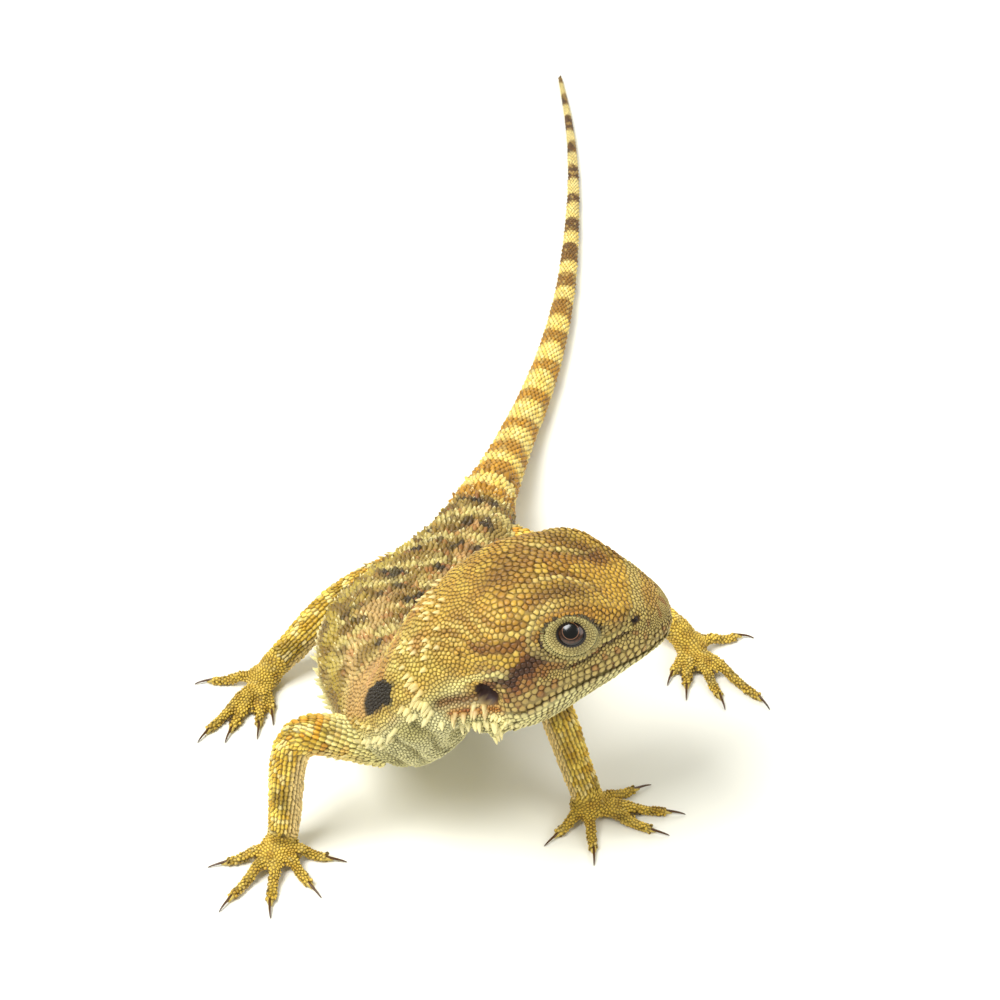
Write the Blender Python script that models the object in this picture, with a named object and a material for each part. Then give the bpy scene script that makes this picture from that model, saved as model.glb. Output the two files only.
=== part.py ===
"""A juvenile central bearded dragon as a still, life-size model: head raised and turned to its left,
forelegs braced, hind legs spread, tail laid out behind. Lengths are in millimetres, angles in degrees.
The body is one lofted form from snout to tail tip, parted by thin flat cuts into its named lengths.
The animal faces -Y, its right side is -X, and the floor it stands on is z = 0."""
import bmesh
import bpy
import numpy as np
from math import cos, pi, radians, sin
from mathutils import Vector

MM = 0.001             # metres in a millimetre
GAP = 0.3              # width of the thin cut between neighbouring pieces
SOLE = 0.12            # how far soles and tail are flattened onto the floor

# Head: its own axis runs straight back from the snout tip, at the height of the mouth line.
SNOUT = (21.0, -62.8, 36.5)
HEAD_TURN = 4.0        # where the snout points, anticlockwise from +X
HEAD_PITCH = 9.0       # snout raised
HEAD_ROLL = -4.0       # crown leaning to the animal's left is positive
HEAD_LENGTH = 26.5     # snout tip to the cut behind the ears
HEAD_SIDES = 28
HEAD_SIZES = (         # behind the snout: half width, height over the axis, depth below it
    (0.0, 1.4, 1.2, 1.0), (0.5, 2.6, 2.2, 2.0), (1.6, 4.0, 3.6, 3.0), (3.5, 5.5, 5.1, 4.0),
    (6.5, 7.1, 7.1, 5.0), (10.0, 8.6, 9.5, 6.0), (14.0, 10.0, 11.3, 7.0), (18.0, 11.0, 11.5, 7.7),
    (22.0, 10.8, 10.2, 7.3), (26.5, 8.8, 7.9, 6.4),
)
# Swellings and hollows, alike on both sides: behind the snout, angle up from the side, length, spread, height.
HEAD_FORMS = (
    (9.6, 48, 4.6, 15, 2.3),      # brow ridge
    (12.2, 24, 2.8, 13, -0.5),    # eye hollow
    (5.0, 44, 3.4, 16, 0.8),      # edge of the snout
    (6.8, 22, 2.4, 14, -0.35),    # hollow before the eye
    (3.2, 38, 1.2, 16, 0.25),     # nostril swelling
    (19.0, -10, 4.6, 26, 0.9),    # jaw muscle
    (24.2, -8, 1.7, 10, -0.7),    # ear pit
    (17.5, 34, 3.5, 13, -0.4),    # temple
    (20.5, 62, 2.6, 18, 0.4),     # back corner of the crown
    (17.0, -50, 6.0, 20, 0.9),    # lower jaw
    (25.5, -44, 5.0, 22, 2.6),    # beard
)
FORMS_END = 36.0       # no head form reaches farther back than this
# How square the body's section is, by distance behind the snout: 1 is an ellipse, less is squarer.
SQUARENESS = ((2, 8, 20, 30, 60, 100), (0.95, 0.8, 0.78, 0.9, 0.82, 0.95))
# The mouth line as distance behind the snout and height over the head's axis, to the corner of the jaw.
MOUTH = ((-2.0, -1.0), (4.0, -1.3), (10.0, -1.2), (16.0, -1.3), (20.5, -2.4))
JAW_HEEL = (22.0, -14.0)   # where the cut down behind the jaw comes out, below the throat
EYE_BACK = 12.2        # eye centre behind the snout
EYE_OUT = 6.7          # and out from the head's axis
EYE_UP = 4.9           # and over the mouth line
EYE_RADIUS = 2.75
EYE_RINGS, EYE_SIDES, EYE_CAP = 8, 14, 75   # its rings reach this many degrees from its girdle

# Neck, trunk and tail, front to back: centre x, y, z, half width, height above and depth below the centre.
SPINE = (
    (-9.0, -67.2, 28.8, 7.1, 6.3, 6.2),       # nape
    (-11.2, -66.0, 23.6, 7.1, 6.1, 7.8),      # root of the neck
    (-11.9, -59.6, 19.2, 10.0, 7.4, 9.0),     # shoulders
    (-11.6, -50.4, 16.2, 13.2, 7.2, 9.0),     # chest
    (-9.2, -41.0, 13.6, 13.2, 6.6, 8.4),      # belly
    (-6.4, -30.0, 11.5, 9.5, 5.4, 7.1),       # loin
    (-3.6, -19.5, 9.8, 6.3, 4.7, 5.9),        # hips
    (-2.2, -9.5, 7.6, 4.5, 4.0, 4.2),         # vent
    (0.4, 1.4, 5.0, 3.4, 3.2, 3.3),           # tail root
    (2.2, 9.6, 3.4, 2.95, 2.8, 2.9),
    (5.8, 23.0, 2.45, 2.45, 2.3, 2.45),
    (8.9, 37.6, 1.95, 2.0, 1.9, 1.95),
    (11.1, 53.1, 1.5, 1.6, 1.5, 1.5),
    (12.4, 70.0, 1.2, 1.25, 1.2, 1.2),
    (13.1, 87.4, 0.9, 0.95, 0.9, 0.9),
    (12.7, 104.0, 0.68, 0.7, 0.65, 0.68),
    (11.3, 121.0, 0.42, 0.35, 0.35, 0.42),    # tail tip
)
STEP = 0.5             # spacing of the sampled centre line
EASE = 7.4             # how far along the body the bends of the centre line are eased
TWIST_FROM = 3.0       # the turn from the head's level to the body's begins this far before the head's cut
TWIST_ROWS = 3         # and is over at this row of SPINE
CUT_ROWS = (0.0, 2.6, 8.3, 10.6, 12.4, 14.2, 17.0)   # rows of SPINE, counted from the head's cut
NECK_RINGS, TRUNK_RINGS, TAIL_RINGS = 8, 15, 8
BODY_SIDES, TAIL_SIDES = 26, 12

# Limbs: girdle joint, elbow or knee, wrist or ankle; then radius at each.
LIMBS = {
    "foreleg_right": (((-15.0, -65.6, 15.8), (-25.6, -67.4, 18.2), (-28.2, -69.3, 3.6)), (3.0, 2.5, 2.0)),
    "foreleg_left": (((-4.5, -59.0, 16.0), (5.1, -57.8, 18.0), (11.3, -62.6, 3.6)), (3.0, 2.4, 2.0)),
    "hindleg_right": (((-6.0, -22.0, 9.0), (-21.4, -32.2, 10.0), (-30.4, -37.6, 3.6)), (3.9, 2.6, 2.0)),
    "hindleg_left": (((0.0, -21.0, 9.0), (14.4, -27.2, 9.2), (24.0, -31.0, 3.6)), (3.9, 2.6, 2.0)),
}
LIMB_PARTS = {"foreleg": ("upper_arm", "forearm", "hand"), "hindleg": ("thigh", "shank", "foot")}
LIMB_HINT = (0.35, 1.0, 0.2)       # a direction that no limb runs along
LIMB_RINGS, LIMB_SIDES = 7, 12
# Hands and feet: palm centre, then each toe's bearing, length to the claw and claw bearing, first toe to fifth.
FEET = {
    "hand_right": ((-28.8, -70.4), ((-11, 6.4, -1), (-53, 7.0, -46), (-94, 8.4, -68), (-126, 9.6, -117),
                                    (-164, 6.9, -172))),
    "hand_left": ((11.6, -63.2), ((-133, 5.8, -140), (-85, 6.8, -100), (-23, 8.9, 0), (-2, 10.4, -8),
                                  (29, 7.3, 24))),
    "foot_right": ((-33.0, -39.4), ((-76, 5.6, -91), (-91, 8.0, -95), (-113, 9.6, -97), (-127, 11.4, -117),
                                    (178, 7.2, -150))),
    "foot_left": ((27.0, -32.8), ((-120, 5.2, -92), (-97, 7.2, -88), (-69, 9.8, -91), (-47, 13.0, -74),
                                  (20, 7.2, -40))),
}
PALM, PALM_HEIGHT = 2.5, 1.45      # radius, and height of its centre
PALM_TURNS = (-75, -40, -10, 20, 50, 80)   # where round the palm's thickness its rings lie
WRIST, WRIST_LENGTH = 2.0, 1.4
TOE_NAMES = ("i", "ii", "iii", "iv", "v")
TOE_ROOT, TOE_TIP = 0.95, 0.62     # toe radii
TOE_ARCH = 1.9         # height of a toe's axis at its knuckle
TOE_RINGS, TOE_SIDES = 6, 6
CLAW_LENGTH, CLAW_RINGS, CLAW_SIDES = 2.4, 4, 6
CLAW_ROOT, CLAW_TIP = 0.42, 0.1    # claw radii
CLAW_RISE, CLAW_FALL = 0.25, 0.35  # its slope up at the root and down at the point

# Colours as linear red, green, blue
SAND, OCHRE, YELLOW = (0.42, 0.31, 0.14), (0.50, 0.33, 0.10), (0.55, 0.40, 0.08)
HORN, EYE_BROWN = (0.07, 0.04, 0.02), (0.03, 0.015, 0.01)


# %% Curves, frames and lofts
def unit(v):
    return np.array(v, float) / np.linalg.norm(v)


def smooth(knots):
    """A smooth function through rows of (where, value, ...)."""
    x = np.array([row[0] for row in knots], float)
    y = np.array([row[1:] for row in knots], float)
    slope = np.gradient(y, x, axis=0)

    def at(where):
        i = int(np.clip(np.searchsorted(x, where) - 1, 0, len(x) - 2))
        h = x[i + 1] - x[i]
        u = (where - x[i]) / h
        return ((1 + 2 * u) * (1 - u) ** 2 * y[i] + u * (1 - u) ** 2 * h * slope[i]
                + u * u * (3 - 2 * u) * y[i + 1] - u * u * (1 - u) * h * slope[i + 1])
    return at


def mesh_object(name, vertices, faces, colour, roughness=0.6):
    """A named object from points in millimetres, with its own material."""
    mesh = bpy.data.meshes.new(name)
    mesh.from_pydata([tuple(c * MM for c in v) for v in vertices], [], faces)
    bm = bmesh.new()
    bm.from_mesh(mesh)
    bmesh.ops.recalc_face_normals(bm, faces=bm.faces)
    bmesh.ops.triangulate(bm, faces=[f for f in bm.faces if len(f.verts) > 4])
    bm.to_mesh(mesh)
    bm.free()
    mesh.shade_smooth()
    mesh.set_sharp_from_angle(angle=radians(50))
    ob = bpy.data.objects.new(name, mesh)
    bpy.context.scene.collection.objects.link(ob)
    material = bpy.data.materials.new(name)
    material.use_nodes = True
    shader = material.node_tree.nodes["Principled BSDF"]
    shader.inputs["Base Color"].default_value = (*colour, 1)
    shader.inputs["Roughness"].default_value = roughness
    mesh.materials.append(material)
    return ob


def skin_over(name, rings, colour, roughness=0.6):
    """A closed skin over rings of points, each end closed by a fan to its middle."""
    n = len(rings[0])
    vertices = [tuple(p) for ring in rings for p in ring]
    faces = [(i * n + j, i * n + (j + 1) % n, (i + 1) * n + (j + 1) % n, (i + 1) * n + j)
             for i in range(len(rings) - 1) for j in range(n)]
    for ring, start in ((rings[0], 0), (rings[-1], (len(rings) - 1) * n)):
        vertices.append(tuple(np.mean(ring, axis=0)))
        faces += [(start + j, start + (j + 1) % n, len(vertices) - 1) for j in range(n)]
    return mesh_object(name, vertices, faces, colour, roughness)


def set_back(rings, first_cut, last_cut):
    """Move the end rings that lie on a cut half a gap off it, so that the cut's two faces are parallel."""
    rings = [np.array(ring) for ring in rings]
    for end, beside, is_cut in ((0, 1, first_cut), (-1, -2, last_cut)):
        normal = unit(np.cross(rings[end][2] - rings[end][0], rings[end][5] - rings[end][2]))
        inward = np.dot(rings[beside].mean(axis=0) - rings[end].mean(axis=0), normal)
        rings[end] = rings[end] + normal * np.sign(inward) * (GAP / 2 if is_cut else 0)
    return rings


def boolean(ob, other, operation):
    """Apply an exact Boolean of another object to this one."""
    step = ob.modifiers.new(operation.lower(), "BOOLEAN")
    step.object, step.operation, step.solver = other, operation, "EXACT"
    bpy.context.view_layer.update()
    result = bpy.data.meshes.new_from_object(ob.evaluated_get(bpy.context.evaluated_depsgraph_get()))
    ob.modifiers.clear()
    ob.data = result


def spend(ob):
    """Remove a piece that has done its work as a cutter or as part of a union."""
    bpy.data.objects.remove(ob)


def settle(ob):
    """Flatten what dips under the floor into a small flat on it."""
    for v in ob.data.vertices:
        v.co.z = max(v.co.z, 0.0)


# %% The body: one loft from the snout back to the tail tip
FORWARD = np.array((cos(radians(HEAD_TURN)) * cos(radians(HEAD_PITCH)),
                    sin(radians(HEAD_TURN)) * cos(radians(HEAD_PITCH)), sin(radians(HEAD_PITCH))))
head_sizes = smooth(HEAD_SIZES)


def spine_rows():
    """The whole centre line as rows of (distance behind the snout, x, y, z, half width, up, down)."""
    rows = []
    for back in (0, 6, 12, 18, 22, HEAD_LENGTH):
        rows.append((float(back), *(np.array(SNOUT) - FORWARD * back), *head_sizes(back)))
    for row in SPINE:
        step = np.linalg.norm(np.array(row[:3]) - np.array(rows[-1][1:4]))
        rows.append((rows[-1][0] + float(step), *row))
    return rows


ROWS = spine_rows()
ROW_AT = [row[0] for row in ROWS]
FIRST = len(ROWS) - len(SPINE)     # the first row of ROWS that comes from SPINE
spine = smooth(ROWS)


def centre_line():
    """The sampled centre line, its forward directions and its left directions."""
    backs = np.arange(0.0, ROW_AT[-1] + STEP, STEP)
    rough = np.array([spine(min(back, ROW_AT[-1]))[:3] for back in backs])
    reach = round(EASE / STEP)
    padded = np.pad(rough, ((reach, reach), (0, 0)), mode="reflect", reflect_type="odd")
    weights = np.hanning(2 * reach + 3)[1:-1]
    places = np.array([np.convolve(padded[:, k], weights / weights.sum(), "valid") for k in range(3)]).T
    ahead = -np.gradient(places, axis=0)
    ahead /= np.linalg.norm(ahead, axis=1)[:, None]
    level = np.cross((0, 0, 1), ahead)
    level /= np.linalg.norm(level, axis=1)[:, None]
    start, end = (round(back / STEP) for back in (HEAD_LENGTH - TWIST_FROM, ROW_AT[FIRST + TWIST_ROWS]))
    left = level.copy()
    for i in range(start, end + 1):
        left[i] = unit(left[i - 1] - ahead[i] * np.dot(left[i - 1], ahead[i]))
    over = np.cross(ahead[end], left[end])
    spare = np.arctan2(np.dot(level[end], over), np.dot(level[end], left[end]))
    for i in range(end + 1):
        along = np.clip((i - start) / (end - start), 0, 1)
        turn = radians(HEAD_ROLL) * (1 - along) + spare * along
        left[i] = left[i] * cos(turn) + np.cross(ahead[i], left[i]) * sin(turn)
    return backs, places, ahead, left


BACKS, PLACES, AHEAD, LEFT = centre_line()


def row_place(k):
    """Distance behind the snout of a fractional row of SPINE; 0 is the cut behind the head."""
    return float(np.interp(k + FIRST - 1, range(len(ROW_AT)), ROW_AT))


def frame_at(back):
    """Centre, left and up directions of the body at a distance behind the snout."""
    here, ahead, left = (np.array([np.interp(back, BACKS, table[:, k]) for k in range(3)])
                         for table in (PLACES, AHEAD, LEFT))
    return here, unit(left), unit(np.cross(ahead, left))


def body_ring(back, sides, grow=0.0):
    """The body's outline at a distance behind the snout."""
    here, left, up = frame_at(back)
    width, high, deep = head_sizes(back) if back <= HEAD_LENGTH else spine(back)[3:]
    power = np.interp(back, *SQUARENESS)
    ring = []
    for j in range(sides):
        c, s = cos(2 * pi * j / sides), sin(2 * pi * j / sides)
        tilt = np.degrees(np.arctan2(s, abs(c)))
        swell = sum(h * np.exp(-((back - at) / long) ** 2 - ((tilt - angle) / spread) ** 2)
                    for at, angle, long, spread, h in HEAD_FORMS) if back < FORMS_END else 0.0
        across = width * np.sign(c) * abs(c) ** power + (swell + grow) * c
        over = (high if s > 0 else deep) * np.sign(s) * abs(s) ** power + (swell + grow) * s
        ring.append(here + left * across + up * over)
    return ring


def body_piece(name, start, end, rings, sides, colour, grow=0.0):
    """One length of the body between two distances behind the snout, short of each cut by half a gap."""
    outlines = [body_ring(back, sides, grow) for back in np.linspace(start, end, rings)]
    return skin_over(name, set_back(outlines, True, end < BACKS[-1] - STEP), colour)


def head_outlines():
    """Rings of the head, close together round the blunt snout."""
    steps = [0.0, 0.25, 0.8, 1.7, 3.0, 4.6] + list(np.linspace(6.2, HEAD_LENGTH, 13))
    return set_back([body_ring(back, HEAD_SIDES) for back in steps], False, True)


def mouth_block(side):
    """A block that fills everything under the mouth line, moved off that line by half a gap."""
    left, up = frame_at(0.0)[1:]
    shift = side * GAP / 2
    hind = [(back + shift, height) for back, height in (MOUTH[-1], JAW_HEEL)]
    outline = [*MOUTH[:-1], *hind, (MOUTH[0][0], JAW_HEEL[1])]
    points = [np.array(SNOUT) - FORWARD * back + left * across + up * (height + shift)
              for across in (-16, 16) for back, height in outline]
    n = len(outline)
    faces = [tuple(range(n)), tuple(range(n, 2 * n))]
    faces += [(i, (i + 1) % n, n + (i + 1) % n, n + i) for i in range(n)]
    return mesh_object("mouth_block", points, faces, OCHRE)


def build_lower_jaw(head):
    """Take the lower jaw off the head along the mouth line."""
    jaw = skin_over("lower_jaw", head_outlines(), OCHRE)
    for piece, side, operation in ((jaw, -1, "INTERSECT"), (head, 1, "DIFFERENCE")):
        block = mouth_block(side)
        boolean(piece, block, operation)
        spend(block)


def build_eye(head, side, out):
    """One eyeball that looks straight out to its side, in a socket one gap larger."""
    here, left, up = frame_at(EYE_BACK)
    centre = here + left * out * EYE_OUT + up * EYE_UP
    bpy.ops.mesh.primitive_uv_sphere_add(segments=16, ring_count=10, radius=(EYE_RADIUS + GAP) * MM,
                                         location=Vector(centre) * MM)
    socket = bpy.context.object
    boolean(head, socket, "DIFFERENCE")
    spend(socket)
    axis = left * out
    over = np.cross(axis, FORWARD)
    rings = []
    for turn in np.radians(np.linspace(-EYE_CAP, EYE_CAP, EYE_RINGS)):
        rings.append([centre + EYE_RADIUS * (axis * sin(turn) + cos(turn) * (FORWARD * cos(a) + over * sin(a)))
                      for a in np.linspace(0, 2 * pi, EYE_SIDES, endpoint=False)])
    skin_over("eye_" + side, rings, EYE_BROWN, 0.1)


# %% Limbs
def ring_about(here, way, radius, sides, hint):
    """A circle of points round a place, square to a direction that doesn't run along the hint."""
    across = unit(np.cross(way, hint))
    over = np.cross(across, way)
    return [here + radius * (across * cos(2 * pi * j / sides) + over * sin(2 * pi * j / sides))
            for j in range(sides)]


def tube(name, points, radii, sides, colour, roughness=0.6, hint=(0.0, 0.0, 1.0)):
    """A round-sectioned tube through its points."""
    ways = [unit(points[min(i + 1, len(points) - 1)] - points[max(i - 1, 0)]) for i in range(len(points))]
    return skin_over(name, [ring_about(here, way, radius, sides, hint)
                            for here, way, radius in zip(points, ways, radii)], colour, roughness)


def limb_piece(name, points, radii, start, trunk_cutter):
    """The length of a limb that starts at a joint, along the limb's smooth path, cut to the trunk's side."""
    joints = smooth([(i, *p, r) for i, (p, r) in enumerate(zip(points, radii))])
    outlines = []
    for t in np.linspace(start, start + 1, LIMB_RINGS):
        way = unit(joints(t + 0.02)[:3] - joints(t - 0.02)[:3])
        outlines.append(ring_about(joints(t)[:3], way, joints(t)[3], LIMB_SIDES, LIMB_HINT))
    piece = skin_over(name, set_back(outlines, start > 0, True), YELLOW)
    boolean(piece, trunk_cutter, "DIFFERENCE")


def toe_point(palm, bearing, reach, height):
    return np.array((palm[0] + reach * cos(radians(bearing)), palm[1] + reach * sin(radians(bearing)), height))


def build_foot(name, palm, toes, knee, ankle):
    """A hand or foot: palm, wrist and five arched toes in one piece, and five claws."""
    centre = np.array((*palm, PALM_HEIGHT))
    down = unit(ankle - knee)
    turns = np.radians(PALM_TURNS)
    foot = tube(name, [centre + (0, 0, PALM_HEIGHT * sin(t)) for t in turns], [PALM * cos(t) for t in turns],
                LIMB_SIDES, YELLOW, hint=LIMB_HINT)
    wrist = tube("wrist", [ankle + down * GAP, ankle + down * WRIST_LENGTH, centre], (WRIST, WRIST, PALM * 0.7),
                 LIMB_SIDES, YELLOW, hint=LIMB_HINT)
    boolean(foot, wrist, "UNION")
    spend(wrist)
    along = np.linspace(0.1, 1.0, TOE_RINGS)
    heights = [TOE_TIP - SOLE + (TOE_ARCH - TOE_TIP) * sin(pi * min(1.0, 1.25 * t)) ** 2 * (1 - 0.3 * t)
               for t in along]
    radii = [TOE_ROOT + (TOE_TIP - TOE_ROOT) * t for t in along]
    for toe, (bearing, length, claw_bearing) in zip(TOE_NAMES, toes):
        points = [toe_point(palm, bearing, length * t, height) for t, height in zip(along, heights)]
        part = tube("toe", points, radii, TOE_SIDES, YELLOW)
        boolean(foot, part, "UNION")
        spend(part)
        build_claw(f"claw_{name}_{toe}", points[-1], unit(points[-1] - points[-2]), claw_bearing)
    settle(foot)


def build_claw(name, toe_end, toe_way, bearing):
    """A thin horn claw, curving down from the toe's end to its point on the floor."""
    claw_way = np.array((cos(radians(bearing)), sin(radians(bearing)), 0.0))
    along = np.linspace(0, 1, CLAW_RINGS)
    points = [toe_end + toe_way * GAP]
    for t in along[:-1]:
        way = unit(toe_way * (1 - t) + claw_way * t + np.array((0, 0, CLAW_RISE - (CLAW_RISE + CLAW_FALL) * t)))
        points.append(points[-1] + way * CLAW_LENGTH / (CLAW_RINGS - 1))
    drop = points[-1][2] - CLAW_TIP
    points = [p - np.array((0, 0, drop * t * t)) for p, t in zip(points, along)]
    radii = [CLAW_ROOT + (CLAW_TIP - CLAW_ROOT) * t for t in along]
    claw = tube(name, points, radii, CLAW_SIDES, HORN, 0.35)
    settle(claw)


# %% Build everything
for old in list(bpy.data.objects):
    bpy.data.objects.remove(old)

head = skin_over("head", head_outlines(), OCHRE)
build_lower_jaw(head)
for side, out in (("left", 1), ("right", -1)):
    build_eye(head, side, out)

neck_start, neck_end, trunk_end, *tail_ends = (row_place(row) for row in CUT_ROWS)
body_piece("neck", neck_start, neck_end, NECK_RINGS, BODY_SIDES, OCHRE)
trunk = body_piece("trunk", neck_end, trunk_end, TRUNK_RINGS, BODY_SIDES, SAND)
settle(trunk)
for k, (start, end) in enumerate(zip([trunk_end] + tail_ends, tail_ends), 1):
    length = body_piece(f"tail_{k}", start, end, TAIL_RINGS, TAIL_SIDES, SAND)
    settle(length)

cutter = body_piece("trunk_cutter", neck_start, trunk_end, NECK_RINGS + TRUNK_RINGS, BODY_SIDES, SAND, GAP)
for limb, (joints, joint_radii) in LIMBS.items():
    kind, side = limb.split("_")
    upper, lower, end = LIMB_PARTS[kind]
    limb_piece(f"{upper}_{side}", joints, joint_radii, 0, cutter)
    limb_piece(f"{lower}_{side}", joints, joint_radii, 1, cutter)
    build_foot(f"{end}_{side}", *FEET[f"{end}_{side}"], *np.array(joints[1:]))
spend(cutter)

# The origin goes to the middle of the whole animal's footprint, on the floor.
bpy.context.view_layer.update()
corners = np.array([ob.matrix_world @ v.co for ob in bpy.data.objects for v in ob.data.vertices])
middle = (corners.min(axis=0) + corners.max(axis=0)) / 2
for ob in bpy.data.objects:
    ob.location = ob.location - Vector((middle[0], middle[1], 0.0))
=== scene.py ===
# %% [markdown]
# # A juvenile bearded dragon, from solids to scales
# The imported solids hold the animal's pose and outline, each leg, length of tail and claw in its own node.
# This file dresses them: one skin over all the flesh, thousands of small solid scales that lie back along
# the body, spines, eyelids, glassy eyes and horn claws. Sizes are in millimetres where nothing else is said,
# and every mesh is turned to metres when it is made.

# %% Load the solids
from math import cos, pi, radians, sin

import bmesh
import bpy
import numpy as np
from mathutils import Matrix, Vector
from mathutils.bvhtree import BVHTree
from mathutils.kdtree import KDTree


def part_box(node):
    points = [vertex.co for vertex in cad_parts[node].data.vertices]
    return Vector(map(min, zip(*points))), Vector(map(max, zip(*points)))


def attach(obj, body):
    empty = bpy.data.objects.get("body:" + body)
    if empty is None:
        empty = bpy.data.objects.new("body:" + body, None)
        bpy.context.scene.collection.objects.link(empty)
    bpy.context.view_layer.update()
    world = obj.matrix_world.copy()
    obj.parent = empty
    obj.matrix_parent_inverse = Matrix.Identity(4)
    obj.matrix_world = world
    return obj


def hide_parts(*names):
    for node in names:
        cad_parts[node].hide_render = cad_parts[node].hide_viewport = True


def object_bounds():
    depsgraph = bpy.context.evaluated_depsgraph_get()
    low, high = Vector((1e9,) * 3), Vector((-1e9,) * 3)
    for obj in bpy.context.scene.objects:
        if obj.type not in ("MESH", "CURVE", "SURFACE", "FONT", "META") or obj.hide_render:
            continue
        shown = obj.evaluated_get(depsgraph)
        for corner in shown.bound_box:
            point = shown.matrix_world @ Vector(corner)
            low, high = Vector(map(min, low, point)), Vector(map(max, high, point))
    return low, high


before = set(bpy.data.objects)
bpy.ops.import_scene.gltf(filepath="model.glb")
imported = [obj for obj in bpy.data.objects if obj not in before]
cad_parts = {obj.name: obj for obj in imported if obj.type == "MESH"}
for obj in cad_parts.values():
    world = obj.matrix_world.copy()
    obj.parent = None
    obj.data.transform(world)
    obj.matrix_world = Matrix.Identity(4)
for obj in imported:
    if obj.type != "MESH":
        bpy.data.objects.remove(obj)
cad_low, cad_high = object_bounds()
bpy.ops.object.select_all(action="DESELECT")
MM = 0.001
chance = np.random.default_rng(11)
cad_size = [round(float(high - low) / MM, 1) for low, high in zip(cad_low, cad_high)]
print("nodes:", len(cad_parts), "box in mm:", cad_size)

# %% [markdown]
# ## The studio
# A small reptile is best seen on a bright, plain table: the floor is a large pale sheet, and the light comes
# from a big soft lamp high on the left, weaker ones on the right and behind, and a pale surround. One lamp
# alone would leave black shadows, and the surround alone would leave the scales flat. The camera looks down
# at 41 degrees through a long lens, so the near head isn't stretched.

# %% Camera, floor and lamps
AIM = Vector((2.7, -19.6, 0.0)) * MM
DISTANCE, ELEVATION = 380 * MM, radians(41)
LENS, SENSOR = 90, 36


def aim_at(ob, target):
    ob.rotation_euler = (Vector(target) - ob.location).to_track_quat("-Z", "Y").to_euler()


bpy.ops.object.camera_add(location=AIM + DISTANCE * Vector((0, -cos(ELEVATION), sin(ELEVATION))))
camera = bpy.context.object
camera.data.lens, camera.data.sensor_width = LENS, SENSOR
camera.data.clip_start, camera.data.clip_end = 0.01, 10
aim_at(camera, AIM)
bpy.context.scene.camera = camera

LAMPS = (               # name, place and size in metres, and power in watts
    ("key", (-0.35, -0.25, 0.75), 0.42, 8.6),
    ("fill", (0.6, -0.35, 0.45), 0.5, 1.9),
    ("rim", (0.1, 0.7, 0.6), 0.5, 3.2),
)
for name, place, size, watts in LAMPS:
    bpy.ops.object.light_add(type="AREA", location=place)
    lamp = bpy.context.object
    lamp.name, lamp.data.size, lamp.data.energy = name, size, watts
    aim_at(lamp, AIM)

bpy.ops.mesh.primitive_plane_add(size=6)
floor = bpy.context.object
floor.name = "table_top"
bpy.context.scene.view_settings.view_transform = "Standard"
print("camera lens", LENS, "mm; lamps:", len(LAMPS))

# %% [markdown]
# ## Colours and nodes
# Colours are written as on a colour card, in sRGB hex, and one function turns them to the linear values that
# Blender shades with. One more function adds a shader node with its settings and links, and serves every
# material below, so that each material reads as a short list of what it is made of.


# %% Colour and node helpers
def colour(card):
    """The linear red, green and blue of an sRGB hex colour such as #d7c57c."""
    srgb = np.array([int(card[i:i + 2], 16) for i in (1, 3, 5)]) / 255
    return np.where(srgb <= 0.04045, srgb / 12.92, ((srgb + 0.055) / 1.055) ** 2.4)


def add(material, kind, settings=(), **links):
    """Add a shader node; settings are attributes or sockets, and links are socket names to other outputs."""
    node = material.node_tree.nodes.new("ShaderNode" + kind)
    for key, value in dict(settings).items():
        if hasattr(node, key):
            setattr(node, key, value)
        else:
            node.inputs[key].default_value = value
    for key, source in links.items():
        material.node_tree.links.new(source, node.inputs[key.replace("_", " ")])
    return node


def new_material(name):
    material = bpy.data.materials.new(name)
    material.use_nodes = True
    return material, material.node_tree.nodes["Principled BSDF"]


# Uncoated paper scatters light evenly: soft shadows, and no shine.
paper, shader = new_material("matt_white_paper")
shader.inputs["Base Color"].default_value = (*colour("#f4f3ea"), 1)
shader.inputs["Roughness"].default_value = 0.9
floor.data.materials.append(paper)

world = bpy.data.worlds.new("studio")
bpy.context.scene.world = world
world.use_nodes = True
surround = world.node_tree.nodes["Background"]
surround.inputs["Color"].default_value = (1.0, 1.0, 0.88, 1)
surround.inputs["Strength"].default_value = 0.37
print("floor of", paper.name, "under the", world.name, "world")

# %% [markdown]
# ## A line through the body
# Patterns and scales on a lizard follow its body: bars cross the back, rows of scales run towards the tail.
# Straight axes would cut across a bent animal, so every place gets body coordinates instead: the distance
# behind the snout along a curved centre line, and how far it lies to the left of that line and above it. The
# head's own axes come from the two eyeballs.

# %% Centre line from snout to tail tip
HEAD_TURN, HEAD_PITCH = radians(4), radians(9)     # where the snout points
EYE_BACK, EYE_UP = 12.2, 4.9                       # the eyes' place behind the snout and over the mouth line
HEAD_KNOTS = (0, 6, 12, 18, 22, 26.5)              # the head's part of the line is straight
EYES_MIDDLE = np.array((10.89, -82.96, 39.42))     # the middle between the eyes, in the numbers of SPINE
SPINE = (                                          # centres from the nape to the tail tip
    (-6.3, -86.8, 28.8), (-8.5, -85.6, 23.6), (-9.2, -79.2, 19.2), (-8.9, -70.0, 16.2), (-6.5, -60.6, 13.6),
    (-3.7, -49.6, 11.5), (-0.9, -39.1, 9.8), (0.5, -29.1, 7.6), (3.1, -18.2, 5.0), (4.9, -10.0, 3.4),
    (8.5, 3.4, 2.45), (11.6, 18.0, 1.95), (13.8, 33.5, 1.5), (15.1, 50.4, 1.2), (15.8, 67.8, 0.9),
    (15.4, 84.4, 0.68), (14.0, 101.4, 0.42),
)
STEP, EASE = 0.5, 7.4                              # spacing of the samples, and how far bends are eased
LEAN_FROM, LEAN_TO = 20, 3                         # the head's lean fades from there to this row of SPINE


def unit(v):
    v = np.asarray(v, float)
    return v / np.maximum(np.linalg.norm(v, axis=-1, keepdims=True), 1e-9)


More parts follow.
